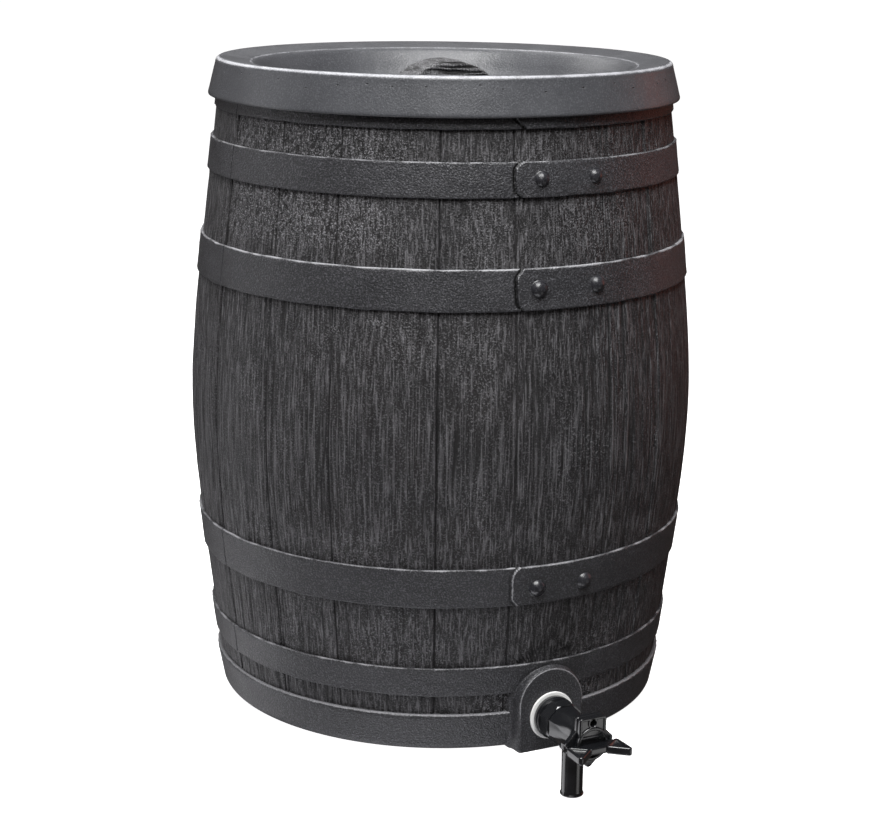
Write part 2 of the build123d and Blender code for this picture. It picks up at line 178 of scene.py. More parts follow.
def shell(rings, ends="joined"):
    """A closed surface through rings of points (rings, points, 3), quads between neighbours.
    The end rings are joined to each other, closed on a middle point, or each is one face."""
    m, n = rings.shape[:2]
    i = np.arange(m if ends == "joined" else m - 1)[:, None]
    j = np.arange(n)[None, :]
    i2, j2 = (i + 1) % m, (j + 1) % n
    quads = np.stack([i * n + j, i * n + j2, i2 * n + j2, i2 * n + j], axis=-1).reshape(-1, 4)
    points = rings.reshape(-1, 3)
    faces = [quads]
    first, last = np.arange(n), (m - 1) * n + np.arange(n)
    if ends == "points":
        points = np.vstack([points, rings[0].mean(0), rings[-1].mean(0)])
        faces.append(np.stack([np.full(n, m * n), np.roll(first, -1), first], axis=-1))
        faces.append(np.stack([np.full(n, m * n + 1), last, np.roll(last, -1)], axis=-1))
    elif ends == "flat":
        faces += [first[None, ::-1], last[None, :]]
    return points, faces


def outward(points, faces):
    """The same faces, turned over if the volume that they enclose comes out negative."""
    volume = 0.0
    for group in faces:
        corners = points[group]
        for k in range(1, group.shape[1] - 1):
            crossed = np.cross(corners[:, k], corners[:, k + 1])
            volume += float(np.sum(corners[:, 0] * crossed))
    return faces if volume > 0 else [group[:, ::-1] for group in faces]


def piece(name, shells, material, body, stands_for, layers=None, sharp=38):
    """One mesh object from closed shells in millimetres. It rides on a body and stands for a
    CAD node. layers holds numbers for each point, which the material reads. Edges that turn
    by more than sharp degrees stay sharp."""
    points, faces, base = [], [], 0
    for shell_points, shell_faces in shells:
        faces += [group + base for group in outward(shell_points, shell_faces)]
        points.append(shell_points)
        base += len(shell_points)
    points = np.concatenate(points) * MM
    corners = np.concatenate([group.ravel() for group in faces])
    sizes = np.concatenate([np.full(len(group), group.shape[1]) for group in faces])
    starts = np.concatenate([[0], np.cumsum(sizes)[:-1]])
    mesh = bpy.data.meshes.new(name)
    mesh.vertices.add(len(points))
    mesh.vertices.foreach_set("co", points.ravel().astype(np.float32))
    mesh.loops.add(len(corners))
    mesh.loops.foreach_set("vertex_index", corners.astype(np.int32))
    mesh.polygons.add(len(sizes))
    mesh.polygons.foreach_set("loop_start", starts.astype(np.int32))
    mesh.update(calc_edges=True)
    mesh.shade_smooth()
    mesh.set_sharp_from_angle(angle=math.radians(sharp))
    for layer, values in (layers or {}).items():
        values = np.concatenate([np.ravel(values), np.zeros(len(points) - np.size(values))])
        made = mesh.attributes.new(layer, "FLOAT", "POINT")
        made.data.foreach_set("value", values.astype(np.float32))
    mesh.materials.append(material)
    made = bpy.data.objects.new(name, mesh)
    bpy.context.scene.collection.objects.link(made)
    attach(made, body)
    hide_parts(stands_for)
    return made


def lathe(profile, count=256, ends="joined", wave=None):
    """A profile of (radius, height) carried once round the barrel's axis. wave(degrees, z)
    is added to the radius."""
    degrees = turns(count)[None, :]
    r, z = profile[:, 0][:, None], profile[:, 1][:, None]
    if wave is not None:
        r = r + wave(degrees, z)
    return shell(around(r, degrees, z), ends)


def tap_lathe(profile, count=96, ends="joined"):
    """A profile of (radius, distance along the tap) carried once round the tap's axis."""
    a = np.radians(turns(count))[None, :]
    r, along = profile[:, 0][:, None], profile[:, 1][:, None]
    return shell(tap_points(r * np.cos(a), r * np.sin(a), along), ends)


def shifted_corners(corners, inset):
    """Corners of a convex outline whose sides are all moved inwards by inset."""
    p = np.array(corners, float)
    side = np.roll(p, -1, axis=0) - p
    side /= np.linalg.norm(side, axis=1, keepdims=True)
    inward = np.stack([-side[:, 1], side[:, 0]], axis=-1)
    start = p + inward * inset
    before, before_start = np.roll(side, 1, axis=0), np.roll(start, 1, axis=0)
    gap = start - before_start
    cross = before[:, 0] * side[:, 1] - before[:, 1] * side[:, 0]
    reach = (gap[:, 0] * side[:, 1] - gap[:, 1] * side[:, 0]) / cross
    return before_start + before * reach[:, None]


def rounded(corners, inset, radius, per_corner=7, per_side=8):
    """A convex outline, anticlockwise, moved in by inset, its corners rounded with radius."""
    bend = max(radius - inset, 0.25)
    centres = shifted_corners(corners, inset + bend)
    side = np.roll(centres, -1, axis=0) - centres
    heading = np.arctan2(side[:, 1], side[:, 0]) - math.pi / 2
    before = np.roll(heading, 1)
    turn = (heading - before) % FULL_TURN
    angle = before[:, None] + turn[:, None] * np.linspace(0, 1, per_corner)[None, :]
    bends = centres[:, None] + bend * np.stack([np.cos(angle), np.sin(angle)], axis=-1)
    start, end = bends[:, -1], np.roll(bends[:, 0], -1, axis=0)
    t = (np.arange(1, per_side) / per_side)[None, :, None]
    sides = start[:, None] * (1 - t) + end[:, None] * t
    return np.concatenate([bends, sides], axis=1).reshape(-1, 2)


# ---- materials ----

def linear(code, alpha=1.0):
    """A linear colour from an sRGB hex value."""
    rgb = np.array([int(code[k:k + 2], 16) for k in (1, 3, 5)]) / 255.0
    rgb = np.where(rgb <= 0.04045, rgb / 12.92, ((rgb + 0.055) / 1.055) ** 2.4)
    return (*rgb.tolist(), alpha)


def node(tree, kind, values=None, links=None, **settings):
    """Adds one node: settings are its properties, values fill sockets, links feed them."""
    made = tree.nodes.new(kind)
    for key, value in settings.items():
        setattr(made, key, value)
    for key, value in (values or {}).items():
        made.inputs[key].default_value = value
    for key, source in (links or {}).items():
        tree.links.new(source, made.inputs[key])
    return made


def new_material(name):
    """An empty material and its node tree."""
    made = bpy.data.materials.new(name)
    made.use_nodes = True
    made.node_tree.nodes.clear()
    return made, made.node_tree


MIX_FACTOR, MIX_A, MIX_B, MIX_RESULT = 0, 6, 7, 2     # a colour Mix node's sockets


def rotomoulded_wood_grain(name, groove, ridge, streak_highlight_colour, glint_fleck_colour):
    """Polyethylene powder melted inside a mould cast from old oak staves. The plastic is dull; the grooves
    are painted near black as shade, the ridges are painted lighter, partly burnish and partly highlight,
    streaks along the fibres on them are painted as highlights, and specks on them are painted as glints.
    The relief layer says how much of a ridge a point is, and the pebble layer where the grain
    gives way to pebbles. Fibres are 1.5 mm apart. The powder's grit is finer than a
    millimetre, and is drawn at 1.3 mm so that it shows."""
    made, tree = new_material(name)
    place = node(tree, "ShaderNodeTexCoord").outputs["Object"]
    relief = node(tree, "ShaderNodeAttribute", attribute_name="relief").outputs["Fac"]
    pebble = node(tree, "ShaderNodeAttribute", attribute_name="pebble").outputs["Fac"]
    upright = node(tree, "ShaderNodeMapping", {"Scale": (1, 1, 0.03)}, {"Vector": place})
    fibre = node(tree, "ShaderNodeTexNoise", {"Scale": 1 / 0.0015, "Detail": 2.0, "Roughness": 0.6},
                 {"Vector": upright.outputs["Vector"]})
    grit = node(tree, "ShaderNodeTexNoise", {"Scale": 1 / 0.0013, "Detail": 2.0, "Roughness": 0.6},
                {"Vector": place})
    cloud = node(tree, "ShaderNodeTexNoise", {"Scale": 1 / 0.055, "Detail": 3.0}, {"Vector": place})
    pore = node(tree, "ShaderNodeMapRange", {"From Min": 0.36, "From Max": 0.5, "To Min": 0.2},
                {"Value": fibre.outputs["Fac"]})
    # Grooves are painted near black as shade, and ridges lighter, as highlight and partly burnish.
    solid = node(tree, "ShaderNodeMath", links={0: relief, 1: pore.outputs[0]}, operation="MULTIPLY")
    tone = node(tree, "ShaderNodeMix", {MIX_A: linear(groove), MIX_B: linear(ridge)},
                {MIX_FACTOR: solid.outputs[0]}, data_type="RGBA")
    brown = node(tree, "ShaderNodeMapRange", {"From Min": 0.4, "From Max": 0.75, "To Max": 0.4},
                 {"Value": cloud.outputs["Fac"]})
    warm = node(tree, "ShaderNodeMix", {MIX_B: linear("#211c1c")},
                {MIX_FACTOR: brown.outputs[0], MIX_A: tone.outputs[MIX_RESULT]}, data_type="RGBA")
    on_ridge = node(tree, "ShaderNodeMapRange", {"From Max": 0.5}, {"Value": relief})
    # Streaks along the fibres on the ridges are painted light as highlights.
    strand = node(tree, "ShaderNodeMapRange", {"From Min": 0.5, "From Max": 0.72, "To Max": 0.9},
                  {"Value": fibre.outputs["Fac"]})
    streak_highlight = node(tree, "ShaderNodeMath", links={0: strand.outputs[0], 1: on_ridge.outputs[0]},
                  operation="MULTIPLY")
    highlight_streaked = node(tree, "ShaderNodeMix", {MIX_B: linear(streak_highlight_colour)},
                 {MIX_FACTOR: streak_highlight.outputs[0], MIX_A: warm.outputs[MIX_RESULT]}, data_type="RGBA")
    # Specks on the ridges are painted light as glints.
    glint_speck = node(tree, "ShaderNodeMapRange", {"From Min": 0.52, "From Max": 0.66, "To Max": 0.9},
                 {"Value": grit.outputs["Fac"]})
    gritty = node(tree, "ShaderNodeMath", {1: 0.65, 2: 0.35}, {0: pebble}, operation="MULTIPLY_ADD")
    raised = node(tree, "ShaderNodeMath", links={0: on_ridge.outputs[0], 1: gritty.outputs[0]},
                  operation="MULTIPLY")
    painted_glint = node(tree, "ShaderNodeMath", links={0: glint_speck.outputs[0], 1: raised.outputs[0]},
                  operation="MULTIPLY")
    colour = node(tree, "ShaderNodeMix", {MIX_B: linear(glint_fleck_colour)},
                  {MIX_FACTOR: painted_glint.outputs[0], MIX_A: highlight_streaked.outputs[MIX_RESULT]}, data_type="RGBA")
    rough = node(tree, "ShaderNodeMapRange",
                 {"From Min": 0.2, "From Max": 0.9, "To Min": 0.72, "To Max": 0.44},
                 {"Value": relief})
    fibres = node(tree, "ShaderNodeBump", {"Strength": 0.8, "Distance": 0.001},
                  {"Height": fibre.outputs["Fac"]})
    pebbled = node(tree, "ShaderNodeMapRange",
                   {"From Max": 1.0, "To Min": 0.55, "To Max": 1.0}, {"Value": pebble})
    grains = node(tree, "ShaderNodeBump", {"Distance": 0.0016},
                  {"Strength": pebbled.outputs[0], "Height": grit.outputs["Fac"],
                   "Normal": fibres.outputs["Normal"]})
    surface = node(tree, "ShaderNodeBsdfPrincipled", {"IOR": 1.51},
                   {"Base Color": colour.outputs[MIX_RESULT], "Roughness": rough.outputs[0],
                    "Normal": grains.outputs["Normal"]})
    node(tree, "ShaderNodeOutputMaterial", links={"Surface": surface.outputs[0]})
    return made


def rotomoulded_smooth(name, dark, light, glint_fleck_colour, wear_and_highlight_colour, roughness, orange_peel, pits=0.0):
    """Polyethylene from a smooth part of the same mould: a fine orange peel, cloudy sheen, flecks painted as
    glints and partly dust, edges painted lighter, as highlight and partly wear, where the edge layer is above
    nought, grooves and cracks painted black as shade where it is below, and pinholes left by trapped air
    where the pitted layer is 1, their hollows painted dark as shade. The peel and the flecks are finer than a
    millimetre, and are drawn at 1.2 to 1.3 mm so that they show."""
    made, tree = new_material(name)
    place = node(tree, "ShaderNodeTexCoord").outputs["Object"]
    edge = node(tree, "ShaderNodeAttribute", attribute_name="edge").outputs["Fac"]
    cloud = node(tree, "ShaderNodeTexNoise", {"Scale": 1 / 0.04, "Detail": 4.0}, {"Vector": place})
    peel = node(tree, "ShaderNodeTexNoise", {"Scale": 1 / 0.0013, "Detail": 2.0}, {"Vector": place})
    dust_glint_noise = node(tree, "ShaderNodeTexNoise", {"Scale": 1 / 0.0012, "Detail": 2.0}, {"Vector": place})
    tone = node(tree, "ShaderNodeMix", {MIX_A: linear(dark), MIX_B: linear(light)},
                {MIX_FACTOR: cloud.outputs["Fac"]}, data_type="RGBA")
    # Lighter flecks are painted glints, partly dust.
    dust_glint_fleck = node(tree, "ShaderNodeMapRange", {"From Min": 0.5, "From Max": 0.66, "To Max": 0.5},
                 {"Value": dust_glint_noise.outputs["Fac"]})
    dust_glint_flecked = node(tree, "ShaderNodeMix", {MIX_B: linear(glint_fleck_colour)},
                   {MIX_FACTOR: dust_glint_fleck.outputs[0], MIX_A: tone.outputs[MIX_RESULT]}, data_type="RGBA")
    # The edge layer paints edges lighter, as highlight and partly wear.
    rubbed_and_lit = node(tree, "ShaderNodeMath", {1: 0.7}, {0: dust_glint_noise.outputs["Fac"], 2: edge},
                  operation="MULTIPLY_ADD")
    wear_and_highlight = node(tree, "ShaderNodeMapRange", {"From Min": 0.85, "From Max": 1.45, "To Max": 0.75},
                {"Value": rubbed_and_lit.outputs[0]})
    worn_and_lit = node(tree, "ShaderNodeMix", {MIX_B: linear(wear_and_highlight_colour)},
                {MIX_FACTOR: wear_and_highlight.outputs[0], MIX_A: dust_glint_flecked.outputs[MIX_RESULT]}, data_type="RGBA")
    # Below nought the edge layer paints black shade into grooves and cracks.
    groove_shade = node(tree, "ShaderNodeMath", {1: -1.0}, {0: edge}, operation="MULTIPLY", use_clamp=True)
    colour = node(tree, "ShaderNodeMix", {MIX_B: linear("#050505")},
                  {MIX_FACTOR: groove_shade.outputs[0], MIX_A: worn_and_lit.outputs[MIX_RESULT]}, data_type="RGBA")
    rough = node(tree, "ShaderNodeMapRange",
                 {"From Min": 0.3, "From Max": 0.7, "To Min": roughness - 0.05, "To Max": roughness + 0.07},
                 {"Value": cloud.outputs["Fac"]})
    skin = node(tree, "ShaderNodeBump", {"Strength": orange_peel, "Distance": 0.0008},
                {"Height": peel.outputs["Fac"]})
    normal = skin.outputs["Normal"]
    shade = colour.outputs[MIX_RESULT]
    if pits:
        axes = node(tree, "ShaderNodeSeparateXYZ", links={0: place})
        turn = node(tree, "ShaderNodeMath", links={0: axes.outputs[0], 1: axes.outputs[1]},
                    operation="ARCTAN2")
        row = node(tree, "ShaderNodeCombineXYZ", links={0: turn.outputs[0], 1: axes.outputs[2]})
        # Cells 26 mm apart round the skirt and 11 mm high, with a pinhole in each.
        spread = node(tree, "ShaderNodeMapping", {"Scale": (SKIRT_R / 26, 1 / 0.011, 1)},
                      {"Vector": row.outputs[0]})
        holes = node(tree, "ShaderNodeTexVoronoi", {"Scale": 1.0, "Randomness": 0.7},
                     {"Vector": spread.outputs[0]}, voronoi_dimensions="2D")
        hole = node(tree, "ShaderNodeMapRange",
                    {"From Min": 0.02, "From Max": 0.055, "To Min": 1.0, "To Max": 0.0},
                    {"Value": holes.outputs["Distance"]})
        pitted = node(tree, "ShaderNodeAttribute", attribute_name="pitted").outputs["Fac"]
        pit = node(tree, "ShaderNodeMath", links={0: hole.outputs[0], 1: pitted}, operation="MULTIPLY")
        sunk = node(tree, "ShaderNodeBump", {"Strength": 1.0, "Distance": pits},
                    {"Height": pit.outputs[0], "Normal": normal}, invert=True)
        normal = sunk.outputs["Normal"]
        # The pinholes' hollows are painted dark as shade.
        pit_shade = node(tree, "ShaderNodeMix", {MIX_B: linear("#141415")},
                      {MIX_FACTOR: pit.outputs[0], MIX_A: shade}, data_type="RGBA")
        shade = pit_shade.outputs[MIX_RESULT]
    surface = node(tree, "ShaderNodeBsdfPrincipled", {"IOR": 1.51},
                   {"Base Color": shade, "Roughness": rough.outputs[0], "Normal": normal})
    node(tree, "ShaderNodeOutputMaterial", links={"Surface": surface.outputs[0]})
    return made


def moulded(name, base, other, roughness, ior, grain, depth):
    """Injection-moulded parts: an even colour with a faint flow cloud, and a fine skin whose
    depth says how polished the steel mould was."""
    made, tree = new_material(name)
    place = node(tree, "ShaderNodeTexCoord").outputs["Object"]
    flow = node(tree, "ShaderNodeTexNoise", {"Scale": 1 / 0.012, "Detail": 2.0}, {"Vector": place})
    skin = node(tree, "ShaderNodeTexNoise", {"Scale": 1 / grain, "Detail": 2.0}, {"Vector": place})
    colour = node(tree, "ShaderNodeMix", {MIX_A: linear(base), MIX_B: linear(other)},
                  {MIX_FACTOR: flow.outputs["Fac"]}, data_type="RGBA")
    rough = node(tree, "ShaderNodeMapRange",
                 {"From Min": 0.3, "From Max": 0.7, "To Min": roughness * 0.8, "To Max": roughness * 1.25},
                 {"Value": flow.outputs["Fac"]})
    bump = node(tree, "ShaderNodeBump", {"Strength": 0.5, "Distance": depth}, {"Height": skin.outputs["Fac"]})
    surface = node(tree, "ShaderNodeBsdfPrincipled", {"IOR": ior},
                   {"Base Color": colour.outputs[MIX_RESULT], "Roughness": rough.outputs[0],
                    "Normal": bump.outputs["Normal"]})
    node(tree, "ShaderNodeOutputMaterial", links={"Surface": surface.outputs[0]})
    return made


# The staves: near black, with painted shade in the grooves, painted highlights streaked along their fibres,
# and painted glints on their ridges.
WOOD_GRAIN = rotomoulded_wood_grain("rotomoulded_polyethylene_wood_grain", "#0d0c0e", "#272628",
                                    "#6b6a6d", "#8c8b8f")
# The grip: paler than the staves, its sawn ends' grain ridges painted light as highlight and its grooves dark
# as shade, so the ends stand out, and flecked with painted glints.
LOG_GRAIN = rotomoulded_wood_grain("rotomoulded_polyethylene_log_grain", "#151516", "#4a4a4c",
                                   "#737376", "#a8a8ac")
# The hoops, base ring and boss: dark and satin, a coarse orange peel, edges painted pale as highlight and
# partly wear, flecks painted as glints.
HOOP_PLASTIC = rotomoulded_smooth("rotomoulded_polyethylene_hoop", "#252527", "#363639", "#6a6a6f",
                                  "#acacb0", 0.4, 0.9)
# The lid: the same plastic, smoother and paler, its rim and lip painted pale as highlight, with pinholes
# round its skirt painted dark as shade.
LID_PLASTIC = rotomoulded_smooth("rotomoulded_polyethylene_lid", "#3b3c3f", "#4e4f53", "#646569",
                                 "#c0c1c6", 0.38, 0.3, 0.0006)
# The rivet heads come out of polished cups in the mould: the same plastic, closer to gloss.
RIVET_PLASTIC = rotomoulded_smooth("rotomoulded_polyethylene_rivet", "#232326", "#2d2d31", "#4c4c51",
                                   "#a3a3a6", 0.27, 0.15)
# Polypropylene from a polished mould: deep black, glassy, sharp highlights on its edges.
TAP_PLASTIC = moulded("moulded_polypropylene_gloss_black", "#121315", "#1a1b1e", 0.2, 1.8, 0.003, 0.00003)
# Nylon nut and ring: dense black with a soft shine.
NUT_PLASTIC = moulded("moulded_nylon_black", "#17171a", "#1f1f22", 0.38, 1.53, 0.0008, 0.0001)
# Silicone rubber washer: milky white, even, slightly waxy.
WHITE_SEAL = moulded("moulded_silicone_white", "#f2f2f0", "#fbfbfa", 0.45, 1.41, 0.001, 0.00005)
# Nitrile rubber: black, dull.
BLACK_RUBBER = moulded("moulded_nitrile_rubber_black", "#101010", "#181818", 0.6, 1.52, 0.0007, 0.0001)


# ---- barrel shell ----

def shell_core():
    """The one-piece wall behind the staves, with base ring, neck, rim and floor: a profile
    turned round the axis, outside upwards, then inside downwards."""
    low, high = BASE_RING_TOP, CHIME[1]
    heights = np.linspace(low, high, 26)
    outside = np.stack([stave_r(heights) - 2.4, heights], axis=-1)
    inside = np.stack([stave_r(heights) - WALL, heights], axis=-1)[::-1]
    inner_foot = float(stave_r(low)) - WALL - 2.5
    profile = np.vstack([
        line((1.0, 0.0), (BASE_R, 0.0), 12),
        arc((BASE_R, BASE_EDGE_R), BASE_EDGE_R, -90, -20, 8),
        line((BASE_R + 4.9, 3.6), (BASE_RING_R, low - 2.2), 1.6),
        arc((BASE_RING_R - 1.8, low - 1.8), 1.8, 8, 84, 6),
        line((BASE_RING_R - 3.0, low + 0.05), (outside[0, 0] + 0.6, low + 0.05), 1.0),
        outside,
        line((NECK_R, NECK_LOW), (NECK_R, RIM_Z - 1.2), 3),
        arc((NECK_R - 1.2, RIM_Z - 1.2), 1.2, 0, 90, 5),
        arc((NECK_R - WALL + 1.2, RIM_Z - 1.2), 1.2, 90, 180, 5),
        line((NECK_R - WALL, RIM_Z - 3), (NECK_R - WALL, NECK_LOW), 3),
        inside,
        arc((inner_foot - 12, FLOOR + 12), 12, 0, -90, 10),
        line((inner_foot - 13, FLOOR), (1.0, FLOOR), 12),
    ])

    def wave(degrees, z):
        """Slow wobble of the hot shell, and rough bites along the base ring's upper edge."""
        slow = 0.25 * noise(degrees / 12, z / 50, 3, wrap=30)
        bites = 0.5 * noise(degrees / 1.2, z / 3, 4, wrap=300) * bell(z - low + 0.5, 2.0)
        return (slow + bites) * (z > 5) * (z < low + 1)

    points, faces = lathe(profile, 600, "points", wave)
    # The base ring's upper edge is painted lighter as a highlight, partly wear.
    edge = 0.9 * bell(points[:, 2] - low + 0.3, 0.9)
    edge = np.where(np.hypot(points[:, 0], points[:, 1]) > BASE_RING_R - 6, edge, 0)
    return piece("shell_core", [(points, faces)], HOOP_PLASTIC, "barrel",
                 "barrel_shell", {"edge": edge})


def stave_columns(first):
    """For half a ring of staves from the given one: each column's turn, its distance from
    the left seam, its stave's width and its stave's number. Columns crowd towards the seams."""
    turn = SEAM_START + sum((STAVE_ANGLES * 2)[:first])
    last = first + HALF_RING - 1
    parts = []
    for number in range(first, last + 1):
        angle = STAVE_ANGLES[number % HALF_RING]
        width = math.radians(angle) * BELLY_R
        count = round(width / 0.72)
        u = np.arange(count + (number == last)) / count
        u = u - 0.42 * np.sin(FULL_TURN * u) / FULL_TURN
        parts.append(np.stack([turn + angle * u, width * u, np.full(len(u), width),
                               np.full(len(u), float(number))], axis=-1))
        turn += angle
    return np.concatenate(parts).T


def pebble_mask(degrees, z):
    """Where the mould lost its grain and left pebbles: upper left, in clouds here and
    there, and on both sides of the tap boss."""
    cloud = noise(degrees / 9, z / 40, 31)
    upper = ramp(z, 375, 395) * ramp(-degrees, 32, 46) * ramp(degrees, -95, -84)
    speckled = 0.35 * ramp(cloud, 0.25, 0.7)
    from_boss = np.hypot(degrees * 3.2, z - 36)
    beside = ramp(from_boss, 28, 32) * ramp(-from_boss, -62, -44) * (z < 50)
    return np.clip(upper + speckled + beside, 0, 1)


def seam_cut(s, width, number, z):
    """The V where two staves meet: how far in it each point lies, and the height it takes
    away, less the low shoulders beside it. It is ragged along its length, and wider and
    deeper on the mould's two parting lines."""
    edge = np.minimum(s, width - s)
    seam = number + 1 - (s < width / 2)
    parting = (seam % HALF_RING == 0).astype(float)
    chance = lattice(seam.astype(np.int64) % (2 * HALF_RING), 2, 20)
    ragged = 1 + 0.35 * noise(seam * 5.3, z / 6, 21)
    depth = (0.8 + 0.4 * chance) * ragged + 1.6 * parting
    groove = bell(edge, 0.75 + 0.6 * parting)
    shoulder = bell(edge - 2.4, 1.2) * noise(seam * 3.7, z / 9, 22)
    return groove, depth * groove - 0.3 * shoulder - 0.3 * bell(edge - 1.9, 0.7)


def with_scars(degrees, s, z, height, ridge, pebble):
    """The relief with the mould's rough knots: fine noise swells inside each one."""
    rough = noise(s / 1.1, z / 1.3, 23)
    for scar_turn, scar_z, half_width, half_height in SCARS:
        spot = bell((degrees - scar_turn) * 3.4, half_width) * bell(z - scar_z, half_height)
        height = height + 0.9 * spot * rough
        pebble = np.maximum(pebble, spot)
        ridge = np.clip(ridge + spot * (0.7 + rough), 0, 1)
    return height, ridge, pebble


def with_chopped_arc(degrees, z, height, ridge):
    """The relief with the arc of chopped marks over the tap boss: cuts that point at the
    tap, a sine of the angle round it, broken up by noise."""
    across, up = degrees * 3.5, z - 36
    chop = 0.5 * np.sin(np.arctan2(across, up) * 95) + 0.6 * noise(across / 5, up / 5, 24)
    arch = bell(np.hypot(across, up) - 42.5, 5.5) * ramp(z, 66, 70)
    height = height + arch * (1.3 * ramp(chop, -0.1, 0.4) - 1.2)
    return height, np.clip(ridge * (1 - 0.9 * arch) + arch * ramp(chop, 0.1, 0.6), 0, 1)


def wood_relief(degrees, s, width, number, z):
    """Height of the wood over its plain surface, how much of a ridge each point is, and how
    pebbled. Each stave has its own offset and a slight crown, and falls into a V at its
    seams. Its grain is noise drawn out along the stave, bent by slow waves; ridges stay broad
    and grooves narrow."""
    bend = 2.6 * noise(z / 95, number * 7.3, 11) + 1.1 * noise(z / 34, number * 3.1 + s / 30, 12)
    across = s + bend + number * 137
    fine = noise(across / 1.25, z / 48 + number * 11, 13)
    coarse = noise(across / 2.9, z / 75 + number * 5, 14)
    broad = noise(across / 12, z / 150, 15)
    split = -ramp(-noise(across / 5.5, z / 120 + number * 3, 16), 0.55, 0.8)
    pebble = pebble_mask(degrees, z)
    grain = 0.72 * fine + 0.2 * coarse
    grain = np.where(grain < 0, grain * 1.35, grain * 0.8)
    strength = 0.55 + 0.45 * noise(number * 1.7, z / 130, 17)
    lump = noise(s / 2.1 + number * 9, z / 2.4, 18)
    offset = lattice(number.astype(np.int64), number.astype(np.int64) * 3, 19)
    crown = 1 - (2 * s / width - 1) ** 2
    groove, cut = seam_cut(s, width, number, z)
    height = 0.78 * strength * grain * (1 - 0.75 * pebble) + 0.2 * broad + 0.3 * split
    height = height + 0.34 * pebble * lump - 0.1
    height = height + 0.35 * crown - 0.3
    height = height + 0.28 * offset
    height = height - cut
    # The ridge share is what the material paints lighter as highlight; the seams' V gets nought, painted
    # darkest as shade.
    ridge = 0.62 + 0.95 * grain * strength * (1 - 0.6 * pebble) + 0.1 * broad + 0.15 * split
    ridge = np.clip(ridge + 0.75 * pebble * lump, 0, 1) * (1 - groove)
    height, ridge, pebble = with_scars(degrees, s, z, height, ridge, pebble)
    height, ridge = with_chopped_arc(degrees, z, height, ridge)
    return np.maximum(height, -DEEPEST_CUT), ridge, pebble


def stave_band(name, low, high, first):
    """Half a ring of staves between two heights: each column of points runs up the outside
    and down the hidden side, and the columns follow the turn."""
    degrees, s, width, number = (column[:, None] for column in stave_columns(first))
    row, back_rows = (2.2, 7) if high - low > TALL_BAND else (1.3, 3)
    z = np.linspace(low, high, round((high - low) / row))[None, :]
    height, ridge, pebble = wood_relief(degrees, s, width, number, z)
    outside = around(stave_r(z) + height, degrees, z)
    back_z = np.linspace(high, low, back_rows)[None, :]
    inside = around(stave_r(back_z) - STAVE_BACK, degrees, back_z)
    rings = np.concatenate([outside, inside], axis=1)
    plain = np.zeros(inside.shape[:2])
    return piece(name, [shell(rings, "flat")], WOOD_GRAIN, "barrel", "barrel_shell",
                 {"relief": np.concatenate([ridge, plain], axis=1),
                  "pebble": np.concatenate([pebble, plain], axis=1)}, sharp=60)


def staves():
    """Five rings of staves between the hoops, each in a front and a back half that meet on
    the mould's two parting lines."""
    rows = (("foot", BASE_RING_TOP - 1, HOOP_4[0] + UNDER), ("lower", HOOP_4[1] - UNDER, HOOP_3[0] + UNDER),
            ("belly", HOOP_3[1] - UNDER, HOOP_2[0] + UNDER), ("upper", HOOP_2[1] - UNDER, HOOP_1[0] + UNDER),
            ("top", HOOP_1[1] - UNDER, CHIME[0] + UNDER))
    for row, low, high in rows:
        stave_band("staves_" + row + "_front", low, high, 0)
        stave_band("staves_" + row + "_back", low, high, HALF_RING)


def hoop_turns():
    """Turns round a hoop, closer together at the lap and at the two parting lines."""
    plain = np.arange(-174.0, 186.0, 0.36)
    lap = np.arange(LAP_ANGLE - 1.6, LAP_ANGLE + 3.2, 0.1)
    parting = [np.arange(mid - 0.8, mid + 0.8, 0.1) for mid in (SEAM_START, SEAM_START + 180)]
    fine = np.concatenate([lap, *parting])
    kept = plain[np.min(np.abs(plain[:, None] - fine[None, :]), axis=1) > 0.18]
    return np.sort(np.concatenate([kept, fine]))


def lap(along, z, low, high, clips, fade_length, wear_and_highlight, seed):
    """A hoop's lapped end, along being the way past it: the height that it adds less the gap before it, how
    much of the end is painted lighter as wear and highlight, and how much of the gap is painted black as
    shade. The end is ragged, with clipped corners, and the step fades away round the hoop."""
    low_clip, high_clip = clips
    start = np.maximum(0, np.maximum(low_clip - (z - low), high_clip - (high - z)))
    within = along - start + 0.45 * noise(z / 2.1, seed, 46) + 0.2 * noise(z / 0.8, seed, 47)
    step = LAP_PROUD * ramp(within, -0.3, 0.5) * np.clip(1 - along / fade_length, 0, 1)
    gap = (1.2 + 0.4 * noise(z / 3, seed, 48) - wear_and_highlight) * bell(within + 0.95, 0.7)
    rubbed_and_lit = 1.3 + 0.7 * noise(z / 1.6, seed, 51) + 1.3 * ramp(z, high - 9, high - 5)
    worn_lit_end = wear_and_highlight * bell(within - 0.5, 0.8) * rubbed_and_lit
    return step - gap, worn_lit_end, (2.2 - 2.4 * wear_and_highlight) * bell(within + 1.4, 1.4)


